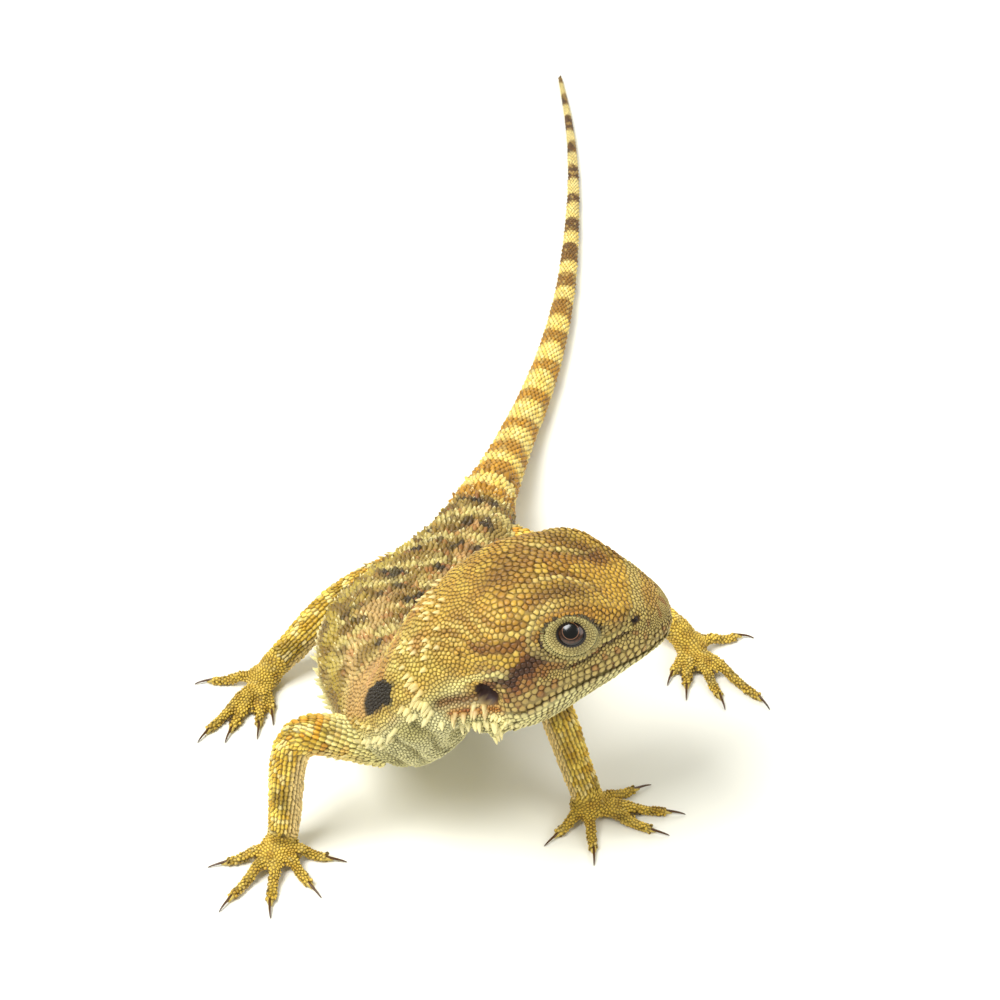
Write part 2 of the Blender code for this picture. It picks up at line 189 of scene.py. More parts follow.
def middle(node):
    """The middle of a solid's box, in millimetres."""
    return np.array(sum(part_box(node), Vector())) / 2 / MM


def dots(a, b):
    return np.sum(a * b, axis=-1, keepdims=True)


head_left = unit(middle("eye_left") - middle("eye_right"))
head_ahead = np.array((cos(HEAD_TURN) * cos(HEAD_PITCH), sin(HEAD_TURN) * cos(HEAD_PITCH), sin(HEAD_PITCH)))
head_ahead = unit(head_ahead - head_left * np.dot(head_ahead, head_left))
head_up = np.cross(head_ahead, head_left)
eyes_middle = (middle("eye_left") + middle("eye_right")) / 2
snout = eyes_middle + head_ahead * EYE_BACK - head_up * EYE_UP
knots = [snout - head_ahead * back for back in HEAD_KNOTS]
knots = np.array(knots + [np.array(row) + eyes_middle - EYES_MIDDLE for row in SPINE])
knot_at = np.concatenate(([0.0], np.cumsum(np.linalg.norm(np.diff(knots, axis=0), axis=1))))
line_at = np.arange(0.0, knot_at[-1] + STEP, STEP)


def through(places, values, where):
    """A smooth curve through values at places, read at where."""
    slope = np.gradient(values, places, axis=0)
    i = np.clip(np.searchsorted(places, where) - 1, 0, len(places) - 2)
    h = (places[i + 1] - places[i])[:, None]
    u = (where - places[i])[:, None] / h
    return ((1 + 2 * u) * (1 - u) ** 2 * values[i] + u * (1 - u) ** 2 * h * slope[i]
            + u * u * (3 - 2 * u) * values[i + 1] - u * u * (1 - u) * h * slope[i + 1])


line = through(knot_at, knots, np.minimum(line_at, knot_at[-1]))
reach = round(EASE / STEP)
window = np.hanning(2 * reach + 3)[1:-1]
padded = np.pad(line, ((reach, reach), (0, 0)), mode="reflect", reflect_type="odd")
line = np.array([np.convolve(padded[:, k], window / window.sum(), "valid") for k in range(3)]).T
line_ahead = unit(-np.gradient(line, axis=0))
level = unit(np.cross((0, 0, 1), line_ahead))
line_left = level.copy()
first, last = round(LEAN_FROM / STEP), round(knot_at[len(HEAD_KNOTS) + LEAN_TO] / STEP)
line_left[:first] = head_left
for i in range(first, last + 1):            # carry the head's left direction down the neck without twist
    line_left[i] = unit(line_left[i - 1] - line_ahead[i] * np.dot(line_left[i - 1], line_ahead[i]))
twist = np.arctan2(np.dot(level[last], np.cross(line_ahead[last], line_left[last])),
                   np.dot(level[last], line_left[last]))
for i in range(first, last + 1):            # and spread what is left of the turn along it
    turn = twist * (i - first) / (last - first)
    line_left[i] = line_left[i] * cos(turn) + np.cross(line_ahead[i], line_left[i]) * sin(turn)
line_up = np.cross(line_ahead, line_left)
print("centre line:", len(line), "samples,", round(float(line_at[-1])), "mm")

# %% [markdown]
# ## Which part is where
# The solids also tell which part of the animal a place belongs to, how far it is from their surface, and
# which way a leg or toe runs. Asking each triangle in turn would take minutes, so a search tree over all the
# flesh solids finds the nearest one at once.

# %% Search the flesh solids
FLESH = [n for n in sorted(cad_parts) if not n.startswith(("eye", "claw"))]
SPANS = {"head": (0, 27), "lower_jaw": (0, 27), "neck": (26, 47), "trunk": (44, 110)}   # parts of the line
TAIL_START = 100
CHUNK = 4000            # points measured against the line at once, to spare memory
HEAD, NECK, TRUNK, TAIL, LIMB, FOOT = range(6)
ENDS = ("hand", "foot")
AREA = {"head": HEAD, "lower_jaw": HEAD, "neck": NECK, "trunk": TRUNK}


def area_of(node):
    if node.startswith("tail"):
        return TAIL
    return AREA.get(node, FOOT if node.startswith(ENDS) else LIMB)


def merged_copy(node):
    """A mesh of a solid with its loose triangles joined."""
    bm = bmesh.new()
    bm.from_mesh(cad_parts[node].data)
    bmesh.ops.remove_doubles(bm, verts=bm.verts, dist=1e-6)
    bm.normal_update()
    return bm


solid_points, solid_faces, solid_node = [], [], []
for index, node in enumerate(FLESH):
    bm = merged_copy(node)
    start = len(solid_points)
    solid_points += [tuple(v.co / MM) for v in bm.verts]
    solid_faces += [[start + v.index for v in f.verts] for f in bm.faces]
    solid_node += [index] * len(bm.faces)
    bm.free()
solid_tree = BVHTree.FromPolygons(solid_points, solid_faces)
solid_node = np.array(solid_node)
node_area = np.array([area_of(node) for node in FLESH])


def nearest(tree, points):
    """For each point: the nearest place on a surface, the surface's normal there and its face."""
    place, normal, face = np.empty((len(points), 3)), np.empty((len(points), 3)), np.empty(len(points), int)
    for i, p in enumerate(points):
        place[i], normal[i], face[i], _ = tree.find_nearest(p)
    return place, normal, face


# Scales lie along the upper and lower leg, away from the body, and on a hand or foot away from its middle.
LIMB_NODES = (("upper_arm", "forearm", "hand"), ("thigh", "shank", "foot"))


def long_axis(node):
    """A solid's middle, the direction that it is longest in, and its points."""
    bm = merged_copy(node)
    points = np.array([v.co for v in bm.verts]) / MM
    bm.free()
    centre = points.mean(axis=0)
    return centre, np.linalg.svd(points - centre, full_matrices=False)[2][0], points


limb_axis = {}
for upper, lower, end in LIMB_NODES:
    for side in ("left", "right"):
        palm = middle(f"{end}_{side}")
        for part in (upper, lower):
            centre, axis, points = long_axis(f"{part}_{side}")
            trunk_side = line[np.argmin(np.linalg.norm(line - centre, axis=1))]
            away = palm - centre if part == lower else centre - trunk_side
            limb_axis[f"{part}_{side}"] = axis * np.sign(np.dot(axis, away))
        limb_axis[f"{end}_{side}"] = palm
print("flesh solids:", len(FLESH), "with", len(solid_faces), "triangles")


# %% Body coordinates of any point
def read_line(table, back):
    return np.array([np.interp(back, line_at, table[:, k]) for k in range(3)]).T


def span_of(name):
    """The stretch of the centre line that a solid's places are measured along."""
    return SPANS.get(name, (TAIL_START if name.startswith("tail") else 0, line_at[-1]))


def coordinates(points):
    """Area, node, distance behind the snout, offsets left and up, the way that scales lie, and the way up."""
    points = np.asarray(points, float)
    face = nearest(solid_tree, points)[2]
    node = solid_node[face]
    back = np.empty(len(points))
    for index, name in enumerate(FLESH):
        mine = np.flatnonzero(node == index)
        low, high = span_of(name)
        allowed = np.flatnonzero((line_at >= low) & (line_at <= high))
        for chunk in np.array_split(mine, len(mine) // CHUNK + 1):
            gaps = ((points[chunk][:, None] - line[allowed][None]) ** 2).sum(axis=2)
            back[chunk] = line_at[allowed[gaps.argmin(axis=1)]]
    here = read_line(line, back)
    back = back - dots(points - here, read_line(line_ahead, back))[:, 0]
    here, left, up = (read_line(table, back) for table in (line, line_left, line_up))
    left, up = unit(left), unit(up)
    lie = -unit(read_line(line_ahead, back))
    for name, axis in limb_axis.items():
        mine = node == FLESH.index(name)
        if name.startswith(ENDS):
            axis = unit((points[mine] - axis) * (1, 1, 0.3))       # out from the palm, and nearly level
        lie[mine] = axis
    return {"area": node_area[node], "node": node, "back": back, "across": dots(points - here, left)[:, 0],
            "over": dots(points - here, up)[:, 0], "lie": lie, "up": up}


# %% [markdown]
# ## How large the scales are, and how deep the skin lies under them
# A dragon's scales differ all over: plates about a millimetre wide on the crown, the finest grains round the
# eyes and ears, small ones on the throat and toes, and ridged scales on the back. One function gives the size
# at any place. The same sizes set how far the skin is drawn in under the solids' surface, so that the scales
# reach it.

# %% Scale sizes
def tilt_of(c):
    """Angle up from the animal's side, in degrees: 90 is the midline of the back, -90 that of the belly."""
    return np.degrees(np.arctan2(c["over"], np.abs(c["across"])))


def hill(x, centre, width):
    return np.exp(-((x - centre) / width) ** 2)


def step(x, low, high):
    """Rises smoothly from 0 at low to 1 at high."""
    t = np.clip((x - low) / (high - low), 0, 1)
    return t * t * (3 - 2 * t)


LID_TURN, EAR_TURN = radians(14), radians(-24)
LIDS = (12.3, 6.0, 3.6, 2.6, LID_TURN)          # the eyelids' oval: distance back, height, half sizes, turn
EAR = (24.6, -2.0, 2.3, 1.45, EAR_TURN)         # the ear opening's oval
NOSTRIL = (4.4, 4.0)
HOLLOW = ((26.5, -3.0), (29.0, -3.2), (31.0, -2.2))                            # the groove behind the ear
CREST = ((1.6, 3.0), (4.9, 3.3), (8.8, 3.0), (10.9, 2.2), (13.1, 2.2), (16.0, 2.6))   # from snout to cheek
BROW_CREASE = ((7.3, 55), (8.9, 73), (12.0, 78), (15.5, 75), (18.0, 66))       # tilt of a dome's furrow
LIPS = ((-2.0, -1.0), (4.0, -1.3), (10.0, -1.2), (16.0, -1.3), (20.5, -2.4))   # the mouth line


def read_path(knots, back):
    """The height of a path, or another value of it, at distances behind the snout."""
    return np.interp(back, *np.array(knots).T)


def path_distance(knots, x, y):
    """Distance of points from a line through knots."""
    best = np.full(len(x), 99.0)
    for (ax, ay), (bx, by) in zip(knots[:-1], knots[1:]):
        share = ((x - ax) * (bx - ax) + (y - ay) * (by - ay)) / ((bx - ax) ** 2 + (by - ay) ** 2)
        share = np.clip(share, 0, 1)
        best = np.minimum(best, np.hypot(x - ax - share * (bx - ax), y - ay - share * (by - ay)))
    return best


def oval_distance(c, oval):
    """1 on the edge of a turned oval on the side of the head, less inside it and more outside."""
    centre_back, centre_over, half_long, half_tall, turn = oval
    along, rise = c["back"] - centre_back, c["over"] - centre_over
    return np.hypot((along * cos(turn) + rise * sin(turn)) / half_long,
                    (rise * cos(turn) - along * sin(turn)) / half_tall)


def fold_wave(c):
    """1 on the crests and -1 in the grooves of the throat's loose folds."""
    return np.cos(2 * pi * (c["back"] + 0.06 * tilt_of(c) + 0.5 * np.sin(0.11 * tilt_of(c))) / 2.6)


def spot_distance(c, back, rise):
    """Distance from a spot on the side of the head."""
    return np.hypot(c["back"] - back, c["over"] - rise)


def tail_size(back):
    return np.interp(back, (100, 130, 230), (0.95, 0.8, 0.42))


WAVES = 9


def cloud(points, size, key):
    """Smooth random values round 0, seldom past 2, in patches of about the given size."""
    dice = np.random.default_rng(key)
    waves = unit(dice.normal(size=(WAVES, 3))) * dice.uniform(0.7, 1.4, (WAVES, 1)) * pi / size
    return np.cos(points @ waves.T + dice.uniform(0, 2 * pi, WAVES)).sum(axis=1) / 2.1


def scale_size(c):
    """Spacing of the scales at places given by their body coordinates."""
    back, tilt, area = c["back"], tilt_of(c), c["area"]
    size = np.full(len(back), 0.9)
    uneven = cloud(np.stack((back, c["across"], c["over"]), axis=1), 1.9, 3)
    head = 0.80 + (0.28 + 0.13 * uneven) * hill(back, 16.0, 6.0) * hill(tilt, 88, 26)
    head -= 0.25 * (1 - step(back, 0.0, 5.0)) + 0.18 * step(-tilt, 15, 45) + 0.14 * step(back, 20, 24)
    head -= 0.32 * (1 - step(oval_distance(c, LIDS), 1.0, 1.45)) * (back < 18) * (c["over"] > 0)
    under = (c["over"] < read_path(CREST, back)) & (c["over"] > 1.2) & (back < 17)
    head -= 0.28 * under
    head -= 0.32 * (1 - step(spot_distance(c, *EAR[:2]), 1.6, 4.0))
    head -= 0.25 * (1 - step(spot_distance(c, *NOSTRIL), 0.8, 1.8))
    size[area == HEAD] = head[area == HEAD]
    neck = 0.52 + 0.14 * step(tilt, -10, 15) * (1 - 0.8 * hill(back, 35, 4)) + 0.12 * step(tilt, 30, 60)
    size[area == NECK] = neck[area == NECK]
    trunk = 0.76 + 0.08 * step(tilt, 10, 50)
    size[area == TRUNK] = trunk[area == TRUNK]
    size[area == LIMB] = 0.62
    size[area == FOOT] = 0.51
    size[area == TAIL] = tail_size(back[area == TAIL])
    return size


COAT = 0.27             # the skin lies this share of a scale's size under the solids' surface

# %% [markdown]
# ## One skin
# The flesh solids are copied, swollen a little so that the thin cuts between them close, and remeshed into a
# single skin with the Remesh modifier. Stitching twenty solids by hand would take far longer and leave
# creases. Each point is then drawn back to just under the solids, and the forms that are too fine for them
# are pushed into the skin: lips, brows, nostrils, ears and throat folds. In the eye sockets the skin goes
# into the eyeballs, because the eyelids are pieces of their own.

# %% Join and remesh
SWELL, VOXEL = 0.3, 0.385


def join_into(joined, bm):
    """Add one mesh under construction to another."""
    part = bpy.data.meshes.new("part")
    bm.to_mesh(part)
    bm.free()
    joined.from_mesh(part)
    bpy.data.meshes.remove(part)


def apply_modifier(kind, **settings):
    """Add a modifier to the active object, set it and apply it."""
    bpy.ops.object.modifier_add(type=kind)
    modifier = bpy.context.object.modifiers[-1]
    for key, value in settings.items():
        setattr(modifier, key, value)
    bpy.ops.object.modifier_apply(modifier=modifier.name)


def make_active(ob):
    bpy.ops.object.select_all(action="DESELECT")
    ob.select_set(True)
    bpy.context.view_layer.objects.active = ob


joined = bmesh.new()
for node in FLESH:
    bm = merged_copy(node)
    for v in bm.verts:
        v.co += v.normal * SWELL * MM
    join_into(joined, bm)
skin_mesh = bpy.data.meshes.new("skin")
joined.to_mesh(skin_mesh)
joined.free()
skin = bpy.data.objects.new("skin", skin_mesh)
bpy.context.scene.collection.objects.link(skin)
make_active(skin)
apply_modifier("REMESH", mode="VOXEL", voxel_size=VOXEL * MM)
apply_modifier("SMOOTH", factor=0.5, iterations=4)
print("skin:", len(skin.data.polygons), "faces")


# %% Draw the skin in under the scales
def read_vertices(ob, key):
    """Places or normals of an object's points, as they are stored."""
    flat = np.empty(len(ob.data.vertices) * 3, np.float32)
    ob.data.vertices.foreach_get(key, flat)
    return flat.reshape(-1, 3).astype(float)


def move_to(ob, points):
    ob.data.vertices.foreach_set("co", (points * MM).astype(np.float32).ravel())
    ob.data.update()


flesh_points = read_vertices(skin, "co") / MM
flesh_normals = read_vertices(skin, "normal")
flesh_at = coordinates(flesh_points)
place, normal, _ = nearest(solid_tree, flesh_points)
outside = np.clip(dots(flesh_points - place, normal), -0.6, 0.6)
coat_depth = COAT * scale_size(flesh_at)[:, None]
skin_points = flesh_points - flesh_normals * (outside + coat_depth)
print("skin drawn in by up to", round(float(coat_depth.max()), 2), "mm")

# %% Lips, brows, nostrils, ears and folds in the skin
def brow_ridge(c):
    """Degrees of tilt above the ridge that overhangs each eye."""
    return tilt_of(c) - 45 + 1.5 * np.maximum(c["back"] - 13, 0)


on_head = (flesh_at["area"] <= NECK) & (flesh_at["back"] < 36)
back, over, tilt = flesh_at["back"], flesh_at["over"], tilt_of(flesh_at)
push = np.zeros(len(back))
lip_gap = over - read_path(LIPS, back)
mouth_fade = step(21.5 - back, 0, 1.5) * (np.abs(flesh_at["across"]) > 0.3)
push -= 0.34 * hill(lip_gap, 0, 0.26) * mouth_fade                        # the closed mouth
push += 0.16 * (hill(lip_gap, 0.8, 0.5) + hill(lip_gap, -0.8, 0.5)) * mouth_fade
crest_gap = over - read_path(CREST, back)
crest_fade = step(14.5 - back, 0, 2) * step(back, 3.0, 5.5)
push += (0.22 * hill(crest_gap, 0.35, 0.4) - 0.26 * hill(crest_gap, -0.4, 0.35)) * crest_fade
lids = oval_distance(flesh_at, LIDS)
push += (0.2 * hill(lids, 1.2, 0.1) - 0.25 * hill(lids, 1.02, 0.08)) * (over > 0)
push += 0.25 * hill(back, 12.0, 4.5) * hill(tilt, 62, 11)                 # the dome over each eye
ridge = brow_ridge(flesh_at)
push += (0.36 * hill(ridge, 0, 6) - 0.12 * hill(ridge, 9, 3)) * hill(back, 11.5, 4.2)
push -= 0.26 * hill(tilt - read_path(BROW_CREASE, back), 1.5, 3) * hill(back, 12.5, 5)
at_eye = (flesh_at["area"] == HEAD) & (back < 18) & (over > 0)
push *= 1 - (1 - step(lids, 0.92, 1.08)) * at_eye
push -= 1.2 * hill(spot_distance(flesh_at, *NOSTRIL), 0, 0.4)
push -= 1.1 * (1 - step(oval_distance(flesh_at, EAR), 0.72, 1.1))
push -= 0.45 * hill(path_distance(HOLLOW, back, over), 0, 0.8)
push += 2.0 * hill(back, 29.0, 3.9) * hill(tilt, -42, 17)                 # the beard runs on behind the jaw
push -= 0.3 * hill(back, 23.0, 2.5) * hill(tilt, -44, 12)
folds = 0.34 * fold_wave(flesh_at) * step(5 - tilt, 0, 25) * hill(back, 37, 5.5)
folds *= flesh_at["area"] == NECK
skin_points += flesh_normals * (push * on_head + folds)[:, None]

# %% Sink the skin in the eye sockets, and finish it
SOCKET, SUNK_TO = 4.0, 2.5      # how far the sockets reach from the eyes' middles, and where their skin goes
eye_middles = np.array([middle("eye_left"), middle("eye_right")])
arm = skin_points - eye_middles[(flesh_at["across"] < 0).astype(int)]
far = np.linalg.norm(arm, axis=1)
in_socket = (dots(flesh_normals, arm)[:, 0] < 0) & (far < SOCKET)
sunk = np.maximum(1 - step(lids, 0.70, 0.95), in_socket) * at_eye * (far > SUNK_TO)
skin_points += unit(arm) * (sunk * (SUNK_TO - far))[:, None]
move_to(skin, skin_points)
apply_modifier("SMOOTH", factor=0.3, iterations=1)
bpy.ops.object.shade_smooth()
skin_points = read_vertices(skin, "co") / MM
skin_normals = read_vertices(skin, "normal")
skin_faces = [tuple(p.vertices) for p in skin.data.polygons]
skin_tree = BVHTree.FromPolygons([tuple(p) for p in skin_points], skin_faces)
print("skin points sunk in the eye sockets:", int((sunk > 0).sum()))

# %% [markdown]
# ## Where each scale sits
# Scales are packed like pebbles: each takes the room of its own size, and they settle against each other. A
# grid would show as straight lines on a round head, so places are dropped on the skin at random, as many as
# its area needs, then pushed apart and put back on the skin, over and over, until they lie evenly. Rows that
# a dragon really has, along the lips and legs and round the tail, are laid out first and stay where they are.


# %% Rows along the lips
LIP_ROWS = (            # height over the mouth line, spacing, first and last place
    (0.62, 0.95, 0.6, 24.0), (-0.62, 0.90, 0.6, 24.0), (1.42, 0.90, 1.0, 23.0), (-1.40, 0.80, 1.0, 23.0),
    (2.2, 0.85, 5.0, 22.0), (-2.15, 0.75, 2.0, 22.0), (2.95, 0.85, 14.5, 22.0), (3.7, 0.85, 16.5, 22.0),
)
MOUTH_SIDE = ((0, 2), (3, 6), (10, 9), (22, 12))       # rough half width of the mouth behind the snout


def on_skin(points):
    """The nearest skin to each point, and the way that it faces there."""
    return nearest(skin_tree, points)[:2]


def head_point(back, across, over):
    """A point in the head's own axes."""
    return snout - np.outer(back, head_ahead) + np.outer(across, head_left) + np.outer(over, head_up)


def lip_row(rise, spacing, first_back, last_back):
    """Places along both lips at a height over or under the mouth line."""
    back = np.arange(first_back, last_back, spacing)
    across, over = read_path(MOUTH_SIDE, back), read_path(LIPS, back) + rise
    return np.concatenate([on_skin(head_point(back, side * across, over))[0] for side in (-1, 1)])


# %% Rings round the tail and rows along the limbs
TAIL_ROWS_FROM, TAIL_ROWS_TO = 103.5, line_at[-1] - 1.2
ROW_GAP, ROW_STEP = 0.52, 0.84                  # between rows along a limb, and between scales in a row


def surface_at(back, tilts, side):
    """Where rays from the centre line, tilted up from one side by some degrees, leave the skin."""
    start, left, up = (read_line(table, [back])[0] for table in (line, line_left, line_up))
    angles = np.radians(tilts)
    ways = np.outer(np.cos(angles) * side, left) + np.outer(np.sin(angles), up)
    hits = [skin_tree.ray_cast(start, way)[0] for way in ways]
    return [np.array(hit) for hit in hits if hit is not None]


def tail_rings():
    """Rings of scales round the tail, each ring turned by half a scale from the one before."""
    places, back, ring = [], TAIL_ROWS_FROM, 0
    while back < TAIL_ROWS_TO:
        size = float(tail_size(back))
        quarter = surface_at(back, (0, 90, 180, 270), 1)
        radius = np.mean([np.linalg.norm(a - b) for a, b in zip(quarter[:2], quarter[2:])]) / 2
        count = max(8, round(2 * pi * radius / (size * 0.88)))
        places += surface_at(back, 360 * (np.arange(count) + 0.5 * (ring % 2)) / count, 1)
        back += size
        ring += 1
    return np.array(places)


def limb_frame(name):
    """The long axis of a part of a leg, and two directions across it."""
    axis = limb_axis[name]
    side = unit(np.cross(axis, (0.3, 0.9, 0.1)))        # no leg runs in this direction
    return axis, side, np.cross(axis, side)


def limb_rows():
    """Rings of scales round each limb, one behind the other, so that their keels make lines along it."""
    places = []
    for name in sorted(limb_axis):
        if name.startswith(ENDS):
            continue
        centre, _, _ = long_axis(name)
        axis, side, other_side = limb_frame(name)
        mine = skin_points[skin_at["node"] == FLESH.index(name)]
        along = (mine - centre) @ axis
        radius = np.median(np.linalg.norm(mine - centre - np.outer(along, axis), axis=1))
        count = round(2 * pi * radius / ROW_GAP)
        turn = 2 * pi * np.arange(count) / count
        ways = np.outer(np.cos(turn), side) + np.outer(np.sin(turn), other_side)
        for far in np.arange(along.min() + 0.8, along.max() - 0.6, ROW_STEP):
            for way in ways:
                hit = skin_tree.ray_cast(centre + axis * far, way)
                if hit[0] is not None and hit[3] < 1.5 * radius:
                    places.append(np.array(hit[0]) + axis * chance.uniform(-0.14, 0.14))
    places = np.array(places)
    return places[coordinates(places)["area"] == LIMB]


skin_at = coordinates(skin_points)
skin_size = scale_size(skin_at)
fixed = np.concatenate([lip_row(*row) for row in LIP_ROWS] + [tail_rings(), limb_rows()])
print("scales laid in rows:", len(fixed))


# %% Helpers to drop and sort places
PACKING = 0.74          # how much of a square of its own spacing a settled scale takes


def scatter(points, faces, spacing, keep):
    """Random places on a mesh of quads, as many as scales of the given spacing need."""
    corners = np.array([points[list(f)] for f in faces])
    area = np.linalg.norm(np.cross(corners[:, 1] - corners[:, 0], corners[:, 2] - corners[:, 0]), axis=1)
    first_corner = [f[0] for f in faces]
    wanted = area / (PACKING * spacing[first_corner] ** 2) * keep[first_corner]
    chosen = chance.choice(len(faces), int(wanted.sum()), p=wanted / wanted.sum())
    u, v = chance.random((2, len(chosen), 1))
    a, b, d = (corners[chosen][:, k] for k in (0, 1, 3))
    return a + u * (b - a) + v * (d - a)


def search_tree(points):
    tree = KDTree(len(points))
    for i, p in enumerate(points):
        tree.insert(p, i)
    tree.balance()
    return tree


def neighbours(points, count):
    """Indices of and distances to the nearest other points."""
    tree = search_tree(points)
    found = [tree.find_n(p, count + 1) for p in points]
    index = np.array([[hit[1] for hit in hits] for hits in found])
    gap = np.array([[hit[2] for hit in hits] for hits in found])
    return index[:, 1:], gap[:, 1:]


def claw_line(node, end):
    """Where a claw leaves its toe, and the way it points."""
    centre, axis, points = long_axis(node)
    axis = axis * np.sign((centre - middle(end)) @ axis)
    far = (points - centre) @ axis
    root = points[far < far.min() + 0.35].mean(axis=0)
    return root, unit(points[far > far.max() - 0.5].mean(axis=0) * 0.5 + centre * 0.5 - root)


CLAWS = {end: [node for node in sorted(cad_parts) if node.startswith("claw_" + end)]
         for end in [f"{kind}_{side}" for kind in ENDS for side in ("left", "right")]}
claw_roots = np.array([claw_line(node, end)[0] for end, nodes in CLAWS.items() for node in nodes])
CLAW_ROOM, EYE_ROOM = 0.62, 3.1         # no scales within this distance of a claw's root or an eye's middle


def is_hidden(points):
    """True where claws leave the toes, and inside the sockets under the eyelids."""
    to_claw, to_eye = (np.linalg.norm(points[:, None] - spots[None], axis=2).min(axis=1)
                       for spots in (claw_roots, eye_middles))
    return (to_claw < CLAW_ROOM) | (to_eye < EYE_ROOM)


def is_open(c):
    """True where no scales grow: in the eyelids' ovals, the ears, the nostrils and the mouth's line."""
    eye = (oval_distance(c, LIDS) < 0.98) & (c["back"] < 18)
    nose = spot_distance(c, *NOSTRIL) < 0.56
    mouth = (np.abs(c["over"] - read_path(LIPS, c["back"])) < 0.2) & (c["back"] < 21)
    return (c["area"] <= NECK) & (c["over"] > -6) & (eye | nose | mouth | (oval_distance(c, EAR) < 1.12))


# %% Drop, push apart and settle
ROUNDS, SHOVE = 10, 0.45                # how often the places settle, and how far each push goes
ROW_ROOM = 0.72                         # share of a scale's size that is kept clear round the rows
row_tree = search_tree(fixed)
bare = np.array([row_tree.find(p)[2] for p in skin_points]) < ROW_ROOM * skin_size
sites = scatter(skin_points, skin_faces, skin_size, 1.0 - (is_open(skin_at) | is_hidden(skin_points) | bare))
count_fixed = len(fixed)
sites = np.concatenate((fixed, sites))
for settling in range(ROUNDS):
    if settling % 4 == 0:               # sizes are looked up again now and then
        spacing = scale_size(coordinates(sites))
    index, gap = neighbours(sites, 7)
    want = (spacing[:, None] + spacing[index]) / 2
    away = (sites[:, None] - sites[index]) / np.maximum(gap, 1e-6)[..., None]
    shove = np.maximum(0, 1 - gap / want)
    move = (away * (shove * want * SHOVE)[..., None]).sum(axis=1)
    move[:count_fixed] = 0
    sites = sites + move
    sites[count_fixed:] = on_skin(sites[count_fixed:])[0]
index, gap = neighbours(sites, 1)
number = np.arange(len(sites))
crowded = (gap[:, 0] < 0.5 * spacing) & (number > index[:, 0]) & (number >= count_fixed)
sites = sites[~crowded]
sites = sites[~is_open(coordinates(sites)) & ~is_hidden(sites)]
sites_at = coordinates(sites)
print("scales settled:", len(sites))

# %% [markdown]
# ## The shape of each scale
# Every scale fills the room between its neighbours: its outline is where the room of one ends and the next
# begins, drawn in a little so that a seam stays between, darkened with painted shade. It rises from under
# the skin to a rim, then to a dome with a keel along the lie of the coat, and on the body its hind edge lifts
# over the next scale.
# Copies of one scale would be quicker, but they would leave gaps, and the export drops instances.


# %% Outlines between neighbours
SIDES = 8
NARROWEST = 0.15        # a neighbour bounds a scale only in directions that point this much towards it
WIDEST = 0.75           # the most that a scale reaches, in shares of its size


def circle(sides):
    """Points evenly round a circle."""
    turn = 2 * pi * np.arange(sides) / sides
    return np.stack((np.cos(turn), np.sin(turn)), axis=1)


directions = circle(SIDES)


def settle_frames(points, c):
    """Each scale's facing, lie and width directions, evened out with its neighbours', and who those are."""
    facing = on_skin(points)[1]
    index = neighbours(points, 8)[0]
    lie = c["lie"]
    for _ in range(3):
        alike = np.maximum((facing[:, None] * facing[index]).sum(axis=2, keepdims=True), 0)
        facing = unit(facing + (facing[index] * alike).sum(axis=1) * 0.5)
        lie = unit(lie + lie[index].sum(axis=1) * 0.3)
    lie = unit(lie - facing * dots(lie, facing))
    return facing, lie, np.cross(facing, lie), index


def outlines(points, spacing, facing, lie, width):
    """How far each scale reaches in each of the directions round it."""
    index = neighbours(points, 12)[0]
    offset = points[index] - points[:, None]
    flat = np.stack(((offset * lie[:, None]).sum(axis=2), (offset * width[:, None]).sum(axis=2)), axis=2)
    length = np.maximum(np.linalg.norm(flat, axis=2), 1e-6)
    share = spacing[:, None] / (spacing[:, None] + spacing[index])
    facing_them = np.einsum("nkc,dc->nkd", flat / length[..., None], directions)
    beside = (facing[:, None] * facing[index]).sum(axis=2)[..., None] > 0.1
    bound = (length * share)[..., None] / np.maximum(facing_them, NARROWEST)
    reach = np.where((facing_them > NARROWEST) & beside, bound, 9.0)
    return np.minimum(reach.min(axis=1), spacing[:, None] * WIDEST)


facing, lie, width, index = settle_frames(sites, sites_at)
spacing = scale_size(sites_at)
for _ in range(2):
    spacing = 0.5 * spacing + 0.5 * spacing[index].mean(axis=1)
reach = outlines(sites, spacing, facing, lie, width)
print("mean reach of a scale:", round(float(reach.mean()), 2), "mm")


# %% Build many scales as one mesh
def fill_mesh(mesh, points, faces_flat, face_sizes):
    """Make a mesh from arrays, which is far quicker than face by face."""
    mesh.vertices.add(len(points))
    mesh.vertices.foreach_set("co", (points * MM).astype(np.float32).ravel())
    mesh.loops.add(len(faces_flat))
    mesh.loops.foreach_set("vertex_index", faces_flat.astype(np.int32))
    mesh.polygons.add(len(face_sizes))
    starts = np.concatenate(([0], np.cumsum(face_sizes)[:-1])).astype(np.int32)
    mesh.polygons.foreach_set("loop_start", starts)
    mesh.update(calc_edges=True)
    mesh.shade_smooth()


def paint(mesh, tints):
    """Store a colour for each point, which the painted materials read."""
    # The stored colours hold the markings together with painted shade in gaps, creases and holes, and painted
    # highlights on the scales.
    layer = mesh.color_attributes.new("markings_and_shading", "FLOAT_COLOR", "POINT")
    opaque = np.concatenate((tints, np.ones((len(tints), 1))), axis=1)
    layer.data.foreach_set("color", opaque.astype(np.float32).ravel())


RINGS = (               # each ring's share of the outline, of the rise, of the keel and of the lift
    (1.00, -0.55, 0.0, 0.0), (0.94, 0.40, 0.2, 1.0), (0.60, 0.88, 0.7, 1.0),
)


